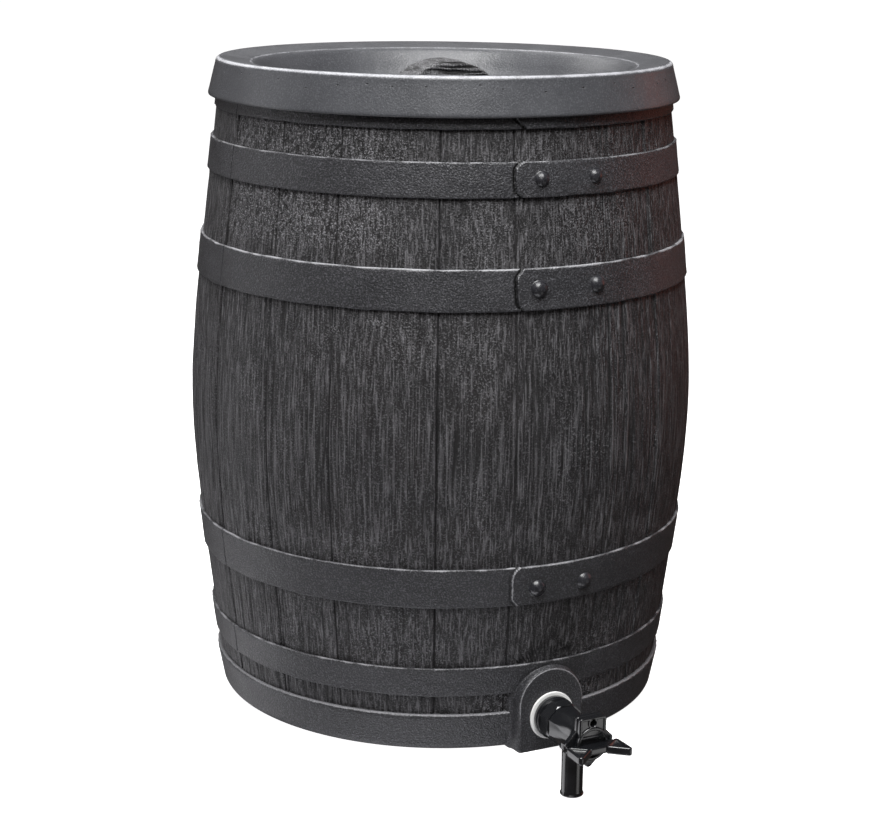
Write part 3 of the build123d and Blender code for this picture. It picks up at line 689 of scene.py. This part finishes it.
def hoop(name, low, high, seed, lapped=True, clips=(LAP_CLIP, LAP_CLIP), lap_wear_and_highlight=0.45, wear_and_highlight=1.0):
    """A hoop: a closed band profile, straight between the staves' radius at its two edges, carried round the
    barrel with slow waves, nicked edges painted lighter unevenly as highlight and partly wear, the lap and
    the mould's two parting lines, with the lap's gap and the parting grooves painted black as shade."""
    proud, bend = HOOP_PROUD, 1.0
    face = max(10, round((high - low - 2 * bend) / 1.1))
    z_face = np.linspace(low + bend, high - bend, face)
    lower = arc((proud - bend, low + bend), bend, -90, 0, 5)
    upper = arc((proud - bend, high - bend), bend, 0, 90, 5)
    middle = np.stack([np.full(face - 2, proud), z_face[1:-1]], axis=-1)
    profile = np.vstack([[(-HOOP_SUNK, low + 0.4)], lower, middle, upper, [(-HOOP_SUNK, high - 0.4)]])
    out, z = profile[:, 0][None, :], profile[:, 1][None, :]
    degrees = hoop_turns()[:, None]
    radius = stave_r(low) + (stave_r(high) - stave_r(low)) * (z - low) / (high - low)
    mm = math.radians(1) * float(stave_r((low + high) / 2))
    exposed = ramp(out, -1, proud * 0.7)
    top, bottom = bell(z - high, 1.4) * exposed, bell(z - low, 1.4) * exposed
    wave = 0.22 * noise(degrees / 7.5, z / 14 + seed, 41, wrap=48)
    wave = wave + 0.1 * noise(degrees / 1.5, z / 5, 42 + seed, wrap=240)
    wave = wave + (0.34 * top + 0.2 * bottom) * noise(degrees / 1.0, seed, 43, wrap=360)
    wave = wave - 0.5 * top * ramp(noise(degrees / 3.0, seed + 9, 44, wrap=120), 0.3, 0.8)
    lift = 0.4 * (top + bottom) * noise(degrees / 4.5, seed + 0.5, 45, wrap=80)
    worn_lit_end = groove_shade = np.zeros((1, 1))
    if lapped:
        along = (degrees - LAP_ANGLE) * mm
        step, worn_lit_end, groove_shade = lap(along, z, low, high, clips, LAP_SWEEP * mm, lap_wear_and_highlight, seed)
        wave = wave + step
    for mid in (SEAM_START, SEAM_START + 180):
        parting = bell((degrees - mid) * mm + 0.3 * noise(z / 4, seed, 49), 0.5)
        wave = wave - 0.75 * parting
        groove_shade = np.maximum(groove_shade, 0.6 * parting)
    rings = around(radius + out + wave * exposed, degrees, z + lift)
    # The edge layer paints the top edges, and faintly the bottom ones, lighter as highlight and partly wear,
    # and the lap's end too; the lap's gap and the parting grooves get painted black shade.
    edge = np.clip(wear_and_highlight * top + 0.35 * bottom, 0, 1.2)
    edge = edge * (0.85 + 0.35 * noise(degrees / 2.2, seed, 50, wrap=164))
    edge = np.maximum(edge, worn_lit_end * exposed)
    groove_shade = groove_shade * exposed
    edge = np.broadcast_to(np.where(groove_shade > 0.25, -groove_shade, edge), rings.shape[:2])
    return piece(name, [shell(rings)], HOOP_PLASTIC, "barrel", "barrel_shell",
                 {"edge": edge}, sharp=50)


def rivet(low, high, degrees, radius, height, seed):
    """A domed rivet head midway between two heights: a spherical cap with a small foot,
    hammered slightly uneven."""
    surface = float(stave_r((low + high) / 2)) + HOOP_PROUD
    surface += LAP_PROUD * (1 - (degrees - LAP_ANGLE) / LAP_SWEEP)
    ball = (radius * radius + height * height) / (2 * height)
    half = math.degrees(math.asin(min(1.0, radius / ball)))
    cap = arc((0, height - ball), ball, 90 - half, 88, 16)
    profile = np.vstack([[(radius + 0.9, -1.6), (radius + 0.8, -0.35), (radius + 0.25, 0.05)], cap])
    turn = np.radians(turns(40))[None, :]
    rho, out = profile[:, 0][:, None], profile[:, 1][:, None]
    x, y = rho * np.cos(turn), rho * np.sin(turn)
    out = out + 0.16 * noise(3 + x / 2.2, 3 + y / 2.2, seed) * (out > 0.3)
    a = math.radians(degrees)
    sideways, outwards = np.array([math.cos(a), math.sin(a), 0]), np.array([math.sin(a), -math.cos(a), 0])
    upwards = np.array([0, 0, 1.0])
    centre = outwards * surface + upwards * (low + high) / 2
    rings = centre + x[..., None] * sideways + out[..., None] * outwards + y[..., None] * upwards
    return shell(rings, "points")


def hoops():
    """The five hoops and the rivets in their laps."""
    hoop("hoop_1", *HOOP_1, seed=1, wear_and_highlight=0.85)
    hoop("hoop_2", *HOOP_2, seed=2, wear_and_highlight=1.15)
    hoop("hoop_3", *HOOP_3, seed=3, lap_wear_and_highlight=0.7)
    hoop("hoop_4", *HOOP_4, seed=4, lapped=False, wear_and_highlight=0.9)
    hoop("chime_hoop", *CHIME, seed=5, clips=(9.0, 0.0), lap_wear_and_highlight=0.2, wear_and_highlight=0.3)
    heads = []
    for (low, high), (both, radius, height, up) in zip((HOOP_1, HOOP_2, HOOP_3), RIVETS):
        for turn in both:
            heads.append(rivet(low + up, high + up, turn, radius, height, seed=60 + len(heads)))
    piece("hoop_rivets", heads, RIVET_PLASTIC, "barrel", "barrel_shell")


def boss_outline(inset, count_side=26, count_arch=64, count_foot=20, corner=1.2):
    """The boss's arch seen from the front, as (across, height) points: up the right side,
    over the round top, down the left side and back along its foot."""
    half, top = BOSS_HALF_WIDTH - inset, BOSS_TOP - inset
    centre = BOSS_TOP - BOSS_HALF_WIDTH
    right = line((half, corner), (half, centre), (centre - corner) / count_side)
    over = arc((0, centre), top - centre, 0, 180, count_arch + 1)[:-1]
    left = line((-half, centre), (-half, corner), (centre - corner) / count_side)
    foot = line((-half + corner, 0), (half - corner, 0), (2 * half - 2 * corner) / count_foot)
    return np.vstack([right, over, left, foot, [(half - corner, 0)]])


def boss():
    """The tap boss: rings from the hole's edge out over the flat face, round its bevelled
    edge, and back along drafted sides that flare where they meet the hoops."""
    outline = boss_outline(0.0)
    hole = np.array([0.0, TAP_Z])
    direction = outline - hole
    direction /= np.linalg.norm(direction, axis=1, keepdims=True)
    rim = hole + direction * WALL_HOLE_R
    rings = [(rim, 26.0), (rim, 12.0), (rim, 1.0), (hole + direction * (WALL_HOLE_R + 0.5), 0.2)]
    inner = boss_outline(BOSS_BEVEL)
    for share in np.linspace(0.05, 1, 10):
        rings.append((hole + direction * (WALL_HOLE_R + 1) * (1 - share) + (inner - hole) * share, 0.0))
    bevel = len(rings)
    for turn in np.radians(np.linspace(12, 78, 6)):
        inset = BOSS_BEVEL - 2.6 * math.sin(turn)
        rings.append((boss_outline(inset), 2.2 * (1 - math.cos(turn))))
    flats = [np.stack([flat[:, 0], np.full(len(flat), -BOSS_FACE + back), flat[:, 1]], axis=-1)
             for flat, back in rings]
    side = boss_outline(0.3)
    meets = BOSS_FACE - np.sqrt((stave_r(np.clip(side[:, 1], 30, 80)) + 1.2) ** 2 - side[:, 0] ** 2)
    away = side - hole
    away /= np.linalg.norm(away, axis=1, keepdims=True)
    away[:, 1] = np.where(side[:, 1] < 3, 0, away[:, 1])
    for back in np.concatenate([np.linspace(2.6, 16, 16), [20, 30]]):
        flare = 2.6 * np.clip((back - meets + 3.5) / 5.0, 0, 1) ** 2
        moved = side + away * (back * math.tan(math.radians(3)) + flare)[:, None]
        flats.append(np.stack([moved[:, 0], np.full(len(moved), -BOSS_FACE + back),
                               np.maximum(moved[:, 1], 0)], axis=-1))
    rings = np.array(flats)
    across, z = rings[..., 0], rings[..., 2]
    rings[..., 1] += 0.1 * noise(across / 9, z / 9, 71) * (rings[..., 1] > -BOSS_FACE - 1)
    # A highlight is painted along the bevel over the round top, and fades out down both sides.
    edge = np.zeros(rings.shape[:2])
    point = np.arange(rings.shape[1])
    edge[bevel + 1:bevel + 3] = 0.9 * ramp(point, 10, 30) * ramp(-point, -112, -90)
    piece("tap_boss", [shell(rings)], HOOP_PLASTIC, "barrel", "barrel_shell",
          {"edge": edge})


# ---- lid ----

def lid_profile():
    """The lid's section: up the skirt, round the rim, down the bowl to the middle, then back
    out along its underside."""
    bowl = [(151.5, 503.6), (148, 501.4), (143.5, 494.6), (136, 482), (120, 468.5), (95, 462.2),
            (55, BOWL_FLOOR)]
    upper = smooth_line(bowl, 6)
    under = smooth_line([(r + 3, z - LID_WALL) for r, z in bowl[1:]], 4)[::-1]
    skirt_top = (LID_TOP_R + 0.9, LID_TOP - 4.0)
    return np.vstack([
        arc((SKIRT_R - 1.2, SKIRT_LOW + 1.2), 1.2, -90, -10, 5),
        line((SKIRT_R, SKIRT_LOW + 1.8), skirt_top, 1.5),
        arc((LID_TOP_R - 3.2, LID_TOP - 4.0), 4.1, 6, 84, 9),
        line((LID_TOP_R - 4.2, LID_TOP + 0.05), (152.8, 503.9), 2.0),
        upper,
        line((50, BOWL_FLOOR), (1.0, BOWL_FLOOR), 4),
    ]), np.vstack([
        line((1.0, BOWL_FLOOR - LID_WALL), (50, BOWL_FLOOR - LID_WALL), 8),
        under,
        line((154.5, 499.6), (LID_TOP_R - 4, LID_TOP - 4.4), 6),
        line((LID_TOP_R - 2.4, LID_TOP - 7), (SKIRT_R - 3.3, SKIRT_LOW + 0.6), 6),
        [(SKIRT_R - 3.0, SKIRT_LOW)],
    ])


def lid():
    """The dished lid: its section carried round, with slow waves and a nicked rim."""
    outer, under = lid_profile()
    degrees = turns(640)[None, :]

    def rings_of(profile):
        """The rings of one stretch of the section; waves fade out towards the middle."""
        r, z = profile[:, 0][:, None], profile[:, 1][:, None]
        wave = 0.3 * noise(degrees / 15, z / 40, 81, wrap=24) + 0.08 * noise(degrees / 2, z / 6, 82, wrap=180)
        nicks = 0.1 * bell(z - LID_TOP + 1, 1.6) * (r > 170) * noise(degrees / 0.9, 0.5, 83, wrap=400)
        return around(r + (wave + nicks) * ramp(r, 60, 150), degrees, z)

    dished = np.concatenate([rings_of(outer), rings_of(under)])
    m, n = dished.shape[:2]
    points, faces = shell(dished)
    # Joined to each other, the two middle rings would leave a hole through the lid, so those
    # faces go and each ring closes on a point of the axis.
    last, first = (len(outer) - 1) * n + np.arange(n), len(outer) * n + np.arange(n)
    quads = faces[0]
    crossing = (quads.min(axis=1) >= last[0]) & (quads.max(axis=1) < first[-1] + 1)
    centre = np.array([[0, 0, BOWL_FLOOR], [0, 0, BOWL_FLOOR - LID_WALL]])
    points = np.vstack([points, centre])
    faces = [quads[~crossing],
             np.stack([np.full(n, m * n), last, np.roll(last, -1)], axis=-1),
             np.stack([np.full(n, m * n + 1), np.roll(first, -1), first], axis=-1)]
    r, z = np.hypot(points[:, 0], points[:, 1]), points[:, 2]
    turn = np.degrees(np.arctan2(points[:, 0], -points[:, 1]))
    # The rim's top and the bowl's lip are painted lighter as highlights.
    edge = 1.2 * bell(z - LID_TOP + 0.8, 1.5) * ramp(r, 174, 176.5) + 0.8 * bell(r - 151.5, 1.8) * (z > 499)
    edge = edge * (0.9 + 0.2 * noise(turn / 2.5, 0.5, 84, wrap=144))
    piece("lid_dish", [(points, faces)], LID_PLASTIC, "lid", "lid",
          {"edge": edge, "pitted": bell(z - PIT_ROW_Z, 4.5) * (r > 172)}, sharp=45)


def lid_grip():
    """The grip: half a log lying across the bowl. Its two sawn ends are rings from a middle
    point out to the bark, with rough level grain; the bark runs between them."""
    count = 220
    a = np.radians(np.concatenate([np.linspace(-2, 182, count - 40), np.linspace(182, 358, 42)[1:-1]]))
    flat_below = np.sin(a) < 0
    outline = np.stack([np.cos(a), np.where(flat_below, np.sin(a) * 0.03, np.sin(a))], axis=-1) * GRIP_R
    middle = np.array([0.0, 16.0])
    end_rings = []
    for share in np.linspace(0.02, 0.955, 46):
        end_rings.append((middle + (outline - middle) * share, GRIP_LENGTH / 2))
    for turn in np.radians(np.linspace(20, 90, 6)):
        inset = GRIP_ROUND * (1 - math.sin(turn))
        shape = outline * (1 - inset / GRIP_R)
        end_rings.append((shape, GRIP_LENGTH / 2 - GRIP_ROUND * (1 - math.cos(turn))))
    for reach in np.linspace(GRIP_LENGTH / 2 - 4, 0, 7)[:-1]:
        end_rings.append((outline, reach))
    flats = np.array([flat for flat, _ in end_rings])
    reach = np.array([along for _, along in end_rings])[:, None]
    x, up = flats[..., 0], flats[..., 1]
    reach = np.broadcast_to(reach, x.shape)
    flat_share = ramp(reach, GRIP_LENGTH / 2 - 1.5, GRIP_LENGTH / 2)
    saw = noise(x / 26 + 5, (up + 1.2 * noise(x / 15, 2, 91)) / 1.25, 92)
    saw = np.where(saw < -0.1, saw * 1.9, saw * 0.9) + 0.3 * noise(x / 5, up / 1.2, 93)
    front = np.stack([x, -(reach + 0.75 * saw * flat_share), up], axis=-1)
    saw_back = noise(x / 26 + 45, up / 1.3, 94)
    back = np.stack([x, reach + 0.75 * saw_back * flat_share, up], axis=-1)[::-1]
    middle_ring = np.stack([outline[:, 0], outline[:, 0] * 0, outline[:, 1]], axis=-1)[None]
    rings = np.concatenate([front, middle_ring, back])
    bark = 1 - ramp(np.abs(rings[..., 1]), GRIP_LENGTH / 2 - 3, GRIP_LENGTH / 2 - 1)
    turn_around = np.arctan2(rings[..., 2], rings[..., 0])
    rough = noise(turn_around * 20, rings[..., 1] / 14, 95)
    rough = rough + 0.5 * noise(turn_around * 45, rings[..., 1] / 6, 96)
    grown = 1 + 0.45 * bark * rough / GRIP_R
    rings[..., 0] *= grown
    rings[..., 2] = rings[..., 2] * grown + GRIP_AXIS_Z
    turn = math.radians(GRIP_TURN)
    x, y = rings[..., 0].copy(), rings[..., 1].copy()
    rings[..., 0] = x * math.cos(turn) - y * math.sin(turn)
    rings[..., 1] = x * math.sin(turn) + y * math.cos(turn)
    # The relief layer paints the sawn ends' grain ridges light as highlight and the grooves dark as shade;
    # the bark goes by its roughness.
    faces_front = np.clip(0.5 + 0.9 * saw, 0, 1)
    faces_back = np.clip(0.5 + 0.5 * saw_back, 0, 1)[::-1]
    ridge = np.concatenate([faces_front, np.ones((1, count)), faces_back]) * (1 - bark)
    ridge = ridge + bark * np.clip(0.6 + 0.5 * rough, 0, 1)
    piece("lid_grip", [shell(rings, "points")], LOG_GRAIN, "lid", "lid",
          {"relief": ridge, "pebble": bark * 0.8}, sharp=60)


# ---- tap ----

def ring_section(inner, outer, low, high, bend):
    """A ring's cross-section, a rectangle with rounded corners, as (radius, distance)."""
    return np.vstack([
        arc((outer - bend, low + bend), bend, -90, 0, 4),
        arc((outer - bend, high - bend), bend, 0, 90, 4),
        arc((inner + bend, high - bend), bend, 90, 180, 4),
        arc((inner + bend, low + bend), bend, 180, 270, 4),
    ])


def tap_barrel():
    """The tap's body along its axis: threaded shank, collar, octagon with turned corners,
    cone whose eight flats fade out, and neck, then back inside through the plug chamber and
    the shank's bore."""
    end = FLANGE_BACK + 0.1
    along = np.concatenate([
        np.arange(SHANK_END, -0.3, 0.3), [0.0, WASHER_THICK, 1.85, 2.2, 3.0, 8.2, 8.8, 8.95, COLLAR_END],
        np.arange(9.3, OCTAGON_END, 0.4), [OCTAGON_END, 21.1], np.linspace(21.6, CONE_END, 26),
        [46.3, 49, FLANGE_BACK, end],
    ])
    outside = np.array([
        (SHANK_END, SHANK_R), (0, SHANK_R), (0.01, 13.2), (WASHER_THICK, 13.2), (1.81, 15.4), (2.2, 16.1),
        (3.0, COLLAR_R), (8.2, COLLAR_R), (8.8, 16.1), (COLLAR_END, 15.5), (20.9, 15.5), (21.1, 15.4),
        (CONE_END, TAP_NECK_R), (end, TAP_NECK_R),
    ])
    inside = np.array([
        (CHAMBER_R, end), (CHAMBER_R, 40), (CHAMBER_R, 20.0), (SHANK_BORE_R, 19.9), (SHANK_BORE_R, -10),
        (SHANK_BORE_R, SHANK_END + 0.4), (SHANK_BORE_R + 0.6, SHANK_END),
    ])
    a = np.radians(turns(192))[None, :]
    d = along[:, None]
    r = np.interp(d, outside[:, 0], outside[:, 1]) + 0 * a
    ridge = np.abs(((d / THREAD_PITCH - a / FULL_TURN) % 1) - 0.5) * 2
    shank = (d < 0) & (d > SHANK_END)
    r = np.where(shank, SHANK_R + 0.15 - ridge * ramp(d, SHANK_END, SHANK_END + 1.5), r)
    # How far a flat of the octagon lies inside its corners, as a share, at each angle.
    flat_share = math.cos(math.pi / 8) / np.cos((a + math.pi / 8) % (math.pi / 4) - math.pi / 8)
    turned = np.minimum(COLLAR_R + 0.05, 15.45 + np.minimum(d - COLLAR_END, OCTAGON_END - d) * 0.75)
    octagon = (d >= COLLAR_END) & (d <= OCTAGON_END)
    r = np.where(octagon, np.minimum(COLLAR_R * flat_share, np.maximum(turned, 15.0)), r)
    r = np.where(d > OCTAGON_END, r * (1 - (1 - flat_share) * ramp(-d, -42, -20)), r)
    return shell(np.concatenate([
        tap_points(r * np.cos(a), r * np.sin(a), d),
        tap_points(inside[:, :1] * np.cos(a), inside[:, :1] * np.sin(a), inside[:, 1:]),
    ]))


def plate(corners, radius, low, high, bend=0.7, hole=None, pocket=None):
    """A plate on a convex outline, rounded over at its edges. With a hole, its rings run
    through the hole; with a pocket (rim, depth), its front is sunk inside the rim."""
    def at(inset, along):
        """One ring of the plate's outline."""
        flat = rounded(corners, inset, radius)
        return tap_points(flat[:, 0], flat[:, 1], np.full(len(flat), float(along)))

    front, back = [], []
    for turn in np.radians(np.linspace(0, 90, 5)):
        inset = bend * (1 - math.cos(turn))
        front.append(at(inset, high - bend + bend * math.sin(turn)))
        back.append(at(inset, low + bend - bend * math.sin(turn)))
    if pocket:
        rim, depth = pocket
        front += [at(rim, high), at(rim + 0.25, high - 0.25), at(rim + 0.5, high - depth + 0.3),
                  at(rim + 0.8, high - depth)]
    if hole is None:
        for side in (front, back):
            middle = side[-1].mean(axis=0)
            for share in (0.6, 0.25):
                side.append(middle + (side[-1] - middle) * share)
        return shell(np.array(back[::-1] + front), "points")
    x, up, hole_r = hole
    flat = rounded(corners, bend, radius) - np.array([x, up])
    flat /= np.linalg.norm(flat, axis=1, keepdims=True)

    def hole_ring(r, along):
        """One ring round the hole, with a point for each of the outline's."""
        return tap_points(x + flat[:, 0] * r, up + flat[:, 1] * r, np.full(len(flat), float(along)))

    if pocket:
        floor = -front[-1][0, 1] - BOSS_FACE
        front += [hole_ring(hole_r + 1.6, floor), hole_ring(hole_r + 1.4, high - 0.3),
                  hole_ring(hole_r + 1.1, high)]
    front += [hole_ring(hole_r + 0.3, high), hole_ring(hole_r, high - 0.3)]
    back += [hole_ring(hole_r + 0.3, low), hole_ring(hole_r, low + 0.3)]
    return shell(np.array(back[::-1] + front))


def spout():
    """The hose tail: a plain tube straight down, a beaded mouth, a small fillet at its root."""
    tip = SPOUT_TIP
    profile = np.vstack([
        [(SPOUT_BORE_R, tip + 0.5), (SPOUT_BORE_R + 0.5, tip)],
        arc((7.9, tip + 1.1), 1.1, -90, 60, 8),
        [(8.3, tip + 2.9), (SPOUT_R, tip + 3.4)],
        line((SPOUT_R, tip + 4), (SPOUT_R, 10.0), 4),
        arc((SPOUT_R + 4, 10.5), 4.0, 180, 120, 5),
        [(10.0, 18.5), (SPOUT_BORE_R, 18.5)],
        line((SPOUT_BORE_R, 14.0), (SPOUT_BORE_R, tip + 1), 6),
    ])
    a = np.radians(turns(72))[None, :]
    r, z = profile[:, :1], profile[:, 1:]
    x, y = r * np.cos(a), -BOSS_FACE - SPOUT_AT + r * np.sin(a)
    return shell(np.stack(np.broadcast_arrays(x, y, z), axis=-1))


def level_plate(corners, radius, low, high, pocket=None, bend=0.8):
    """A plate that lies level: the outline is (across, along the tap), low and high are
    heights from the tap's axis."""
    points, faces = plate(corners, radius, low, high, bend, None, pocket)
    x, up, along = points[:, 0], points[:, 2] - TAP_Z, -points[:, 1] - BOSS_FACE
    return tap_points(x, along, up), faces


def handle():
    """The butterfly handle: cupped hub, padlock lug, a web across the cup, two wings."""
    hub = tap_lathe(np.vstack([
        [(3.0, 57.4), (12.2, 57.4)],
        arc((12.2, 58.2), 0.8, -90, 0, 4),
        arc((12.3, 61.3), 0.7, 0, 90, 4),
        arc((11.2, 61.3), 0.7, 90, 180, 4),
        [(10.4, 59.8), (10.1, 59.5), (3.0, 59.5)],
    ]), 96, "points")
    lug = plate(LUG, 2.4, 57.45, 61.5, 0.9, LUG_HOLE, (1.9, 0.9))
    web = level_plate(((-20.8, 58.0), (20.8, 58.0), (6.5, 69.0), (-6.5, 69.0)), 1.0, -4.9, -0.3, None, 0.7)
    wings = []
    for side in (1, -1):
        corners = [(21.9 * side, 57.8), (22.8 * side, 84.0), (5.4 * side, 69.6)][::side]
        wings.append(level_plate(corners, 2.3, -5.6, 0.6, (2.3, 1.5), 1.1))
    bar = level_plate(((-7.0, 66.0), (7.0, 66.0), (7.0, 70.2), (-7.0, 70.2)), 1.0, -5.0, 0.1, None, 0.7)
    return [hub, lug, web, bar, *wings]


def plug():
    """The plug behind the handle: a cylinder with two O-ring grooves, a groove for the
    retaining ring, and a bored tail."""
    r, ring_groove_r, bore_r = PLUG_R, 6.74, 5.2
    profile = np.array([
        (bore_r, 15.5), (r - 0.4, 15.5), (r, 15.9), (r, 18.1), (7.3, 18.1), (7.3, 19.8), (r, 19.8),
        (r, 23.9), (ring_groove_r, 23.9), (ring_groove_r, 26.1), (r, 26.1),
        (r, 43.9), (ring_groove_r, 43.9), (ring_groove_r, 46.1), (r, 46.1),
        (r, 57.5), (3.0, 57.5), (1.0, 57.5), (1.0, 39.5), (bore_r, 39.5), (bore_r, 16.0),
    ])
    return tap_lathe(profile, 72)


def tap():
    """The tap's own pieces, its two washers, and finishes for the CAD rings and nut."""
    flange = plate(DIAMOND, 3.0, FLANGE_BACK, FLANGE_FACE, 0.9)
    body_lug = plate(LUG, 2.0, FLANGE_BACK + 0.05, FLANGE_FACE - 0.05, 0.9, LUG_HOLE)
    piece("tap_barrel", [tap_barrel()], TAP_PLASTIC, "barrel", "tap_body", sharp=28)
    piece("tap_flange", [flange, body_lug], TAP_PLASTIC, "barrel", "tap_body", sharp=35)
    piece("tap_spout", [spout()], TAP_PLASTIC, "barrel", "tap_body", sharp=40)
    piece("tap_handle", handle(), TAP_PLASTIC, "tap_key", "tap_handle_plug", sharp=35)
    piece("tap_plug", [plug()], TAP_PLASTIC, "tap_key", "tap_handle_plug", sharp=35)
    piece("tap_white_washer", [tap_lathe(ring_section(WASHER_HOLE_R, 18.7, 0.0, WASHER_THICK, 0.55), 128)],
          WHITE_SEAL, "barrel", "tap_outer_seal")
    piece("tap_rubber_washer", [tap_lathe(ring_section(WASHER_HOLE_R, 18.0, -7.0, -4.5, 0.6), 96)],
          BLACK_RUBBER, "barrel", "tap_inner_seal")
    for name, finish in (("plug_rear_o_ring", BLACK_RUBBER), ("plug_front_o_ring", BLACK_RUBBER),
                         ("plug_retaining_ring", NUT_PLASTIC), ("tap_back_nut", NUT_PLASTIC)):
        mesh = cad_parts[name].data
        mesh.materials.clear()
        mesh.materials.append(finish)


# ---- studio ----

def studio_floor():
    """A pale round plinth under the barrel, since the tap's spout hangs below the base, on a
    wide pale floor. Both are seen, but neither lights nor shades the barrel."""
    made, tree = new_material("matt_white_board")
    place = node(tree, "ShaderNodeTexCoord").outputs["Object"]
    cloud = node(tree, "ShaderNodeTexNoise", {"Scale": 3.0}, {"Vector": place})
    colour = node(tree, "ShaderNodeMix", {MIX_A: linear("#eeeeee"), MIX_B: linear("#f3f3f3")},
                  {MIX_FACTOR: cloud.outputs["Fac"]}, data_type="RGBA")
    surface = node(tree, "ShaderNodeBsdfPrincipled",
                   {"Roughness": 0.9, "Emission Color": linear("#ffffff"), "Emission Strength": 1.0,
                    "Specular IOR Level": 0.0},
                   {"Base Color": colour.outputs[MIX_RESULT]})
    node(tree, "ShaderNodeOutputMaterial", links={"Surface": surface.outputs[0]})
    low = SPOUT_TIP - 0.6
    r, reach = 205, 30000
    plinth = np.array([(1.0, low), (r - 1, low), (r, low + 1), (r, -1.2), (r - 1, -0.15), (1.0, -0.15)])
    floor = np.array([(1.0, low - 30), (reach, low - 30), (reach, low - 0.02), (1.0, low - 0.02)])
    for name, profile, count in (("plinth", plinth, 180), ("floor", floor, 64)):
        points, faces = lathe(profile, count, "points")
        mesh = bpy.data.meshes.new(name)
        corners = [face for group in outward(points, faces) for face in group.tolist()]
        mesh.from_pydata((points * MM).tolist(), [], corners)
        mesh.materials.append(made)
        stand = bpy.data.objects.new(name, mesh)
        bpy.context.scene.collection.objects.link(stand)
        stand.visible_diffuse = False
        stand.visible_glossy = False
        stand.visible_shadow = False


def softbox(name, turn, elevation, distance, size, power, colour="#ffffff", height=0.25):
    """A rectangular light at a turn, elevation and distance from a point on the barrel's axis
    at a height in metres, aimed at that point."""
    a, e = math.radians(turn), math.radians(elevation)
    back = Vector((math.sin(a) * math.cos(e), -math.cos(a) * math.cos(e), math.sin(e)))
    lamp = bpy.data.lights.new(name, "AREA")
    lamp.shape = "RECTANGLE"
    lamp.size, lamp.size_y = size
    lamp.energy = power
    lamp.color = linear(colour)[:3]
    made = bpy.data.objects.new(name, lamp)
    bpy.context.scene.collection.objects.link(made)
    made.location = Vector((0, 0, height)) + back * distance
    made.rotation_mode = "QUATERNION"
    made.rotation_quaternion = (-back).to_track_quat("-Z", "Y")


def studio():
    """Soft light from above and in front, cards for the sides and the tap, a dim warm room,
    and plain white behind everything."""
    softbox("key_light", -30, 57, 2.6, (1.6, 1.2), 66)
    softbox("front_fill", -24, 42, 2.6, (1.2, 1.2), 4)
    softbox("overhead_light", -27, 76, 1.9, (1.4, 0.9), 26)
    softbox("left_strip", -120, 2, 1.9, (0.6, 1.3), 6, "#fbfbff")
    softbox("left_low_card", -128, -30, 1.0, (0.8, 0.5), 2.0, "#fbfbff", 0.1)
    softbox("floor_bounce", -46, -58, 0.8, (1.0, 0.6), 4.2, "#f8f9ff", 0.05)
    softbox("warm_reflector", 88, 8, 1.6, (0.5, 0.8), 1.2, "#ff8a70", 0.25)
    softbox("tap_card", 27, -16, 0.9, (0.36, 0.24), 0.3, "#ffffff", 0.03)
    softbox("tap_light", 2, 62, 1.3, (0.4, 0.15), 1.5, "#ffffff", 0.03)
    softbox("back_left_light", -160, 40, 2.4, (1.2, 1.2), 16)
    softbox("back_right_light", 168, 54, 2.5, (1.2, 1.2), 12)
    world = bpy.data.worlds.new("white_studio")
    bpy.context.scene.world = world
    world.use_nodes = True
    tree = world.node_tree
    tree.nodes.clear()
    seen = node(tree, "ShaderNodeLightPath").outputs["Is Camera Ray"]
    white = node(tree, "ShaderNodeBackground", {"Color": linear("#ffffff"), "Strength": 1.0})
    room = node(tree, "ShaderNodeBackground", {"Color": linear("#f6e8e0"), "Strength": 0.055})
    both = node(tree, "ShaderNodeMixShader", links={0: seen, 1: room.outputs[0], 2: white.outputs[0]})
    node(tree, "ShaderNodeOutputWorld", links={"Surface": both.outputs[0]})
    bpy.context.scene.view_settings.view_transform = "Standard"


def camera():
    """A long lens in front and to the left of the tap, a little above the lid, looking
    slightly down and held almost level."""
    place, focal_length = (-0.7328, -1.4369, 0.628), 82.19
    heading, pitch, roll = math.radians(27.16), math.radians(14.14), math.radians(0.76)
    level = math.cos(pitch)
    forward = Vector((math.sin(heading) * level, math.cos(heading) * level, -math.sin(pitch)))
    right = Vector((math.cos(heading), -math.sin(heading), 0))
    up = right.cross(forward)
    rolled_right = right * math.cos(roll) + up * math.sin(roll)
    rolled_up = up * math.cos(roll) - right * math.sin(roll)
    lens = bpy.data.cameras.new("camera")
    lens.lens, lens.sensor_width = focal_length, 36.0
    lens.clip_start, lens.clip_end = 0.05, 100.0
    made = bpy.data.objects.new("camera", lens)
    bpy.context.scene.collection.objects.link(made)
    axes = Matrix((rolled_right, rolled_up, -forward)).transposed()
    made.matrix_world = Matrix.Translation(place) @ axes.to_4x4()
    bpy.context.scene.camera = made


shell_core()
staves()
hoops()
boss()
lid()
lid_grip()
tap()
studio_floor()
studio()
camera()

bpy.context.view_layer.update()
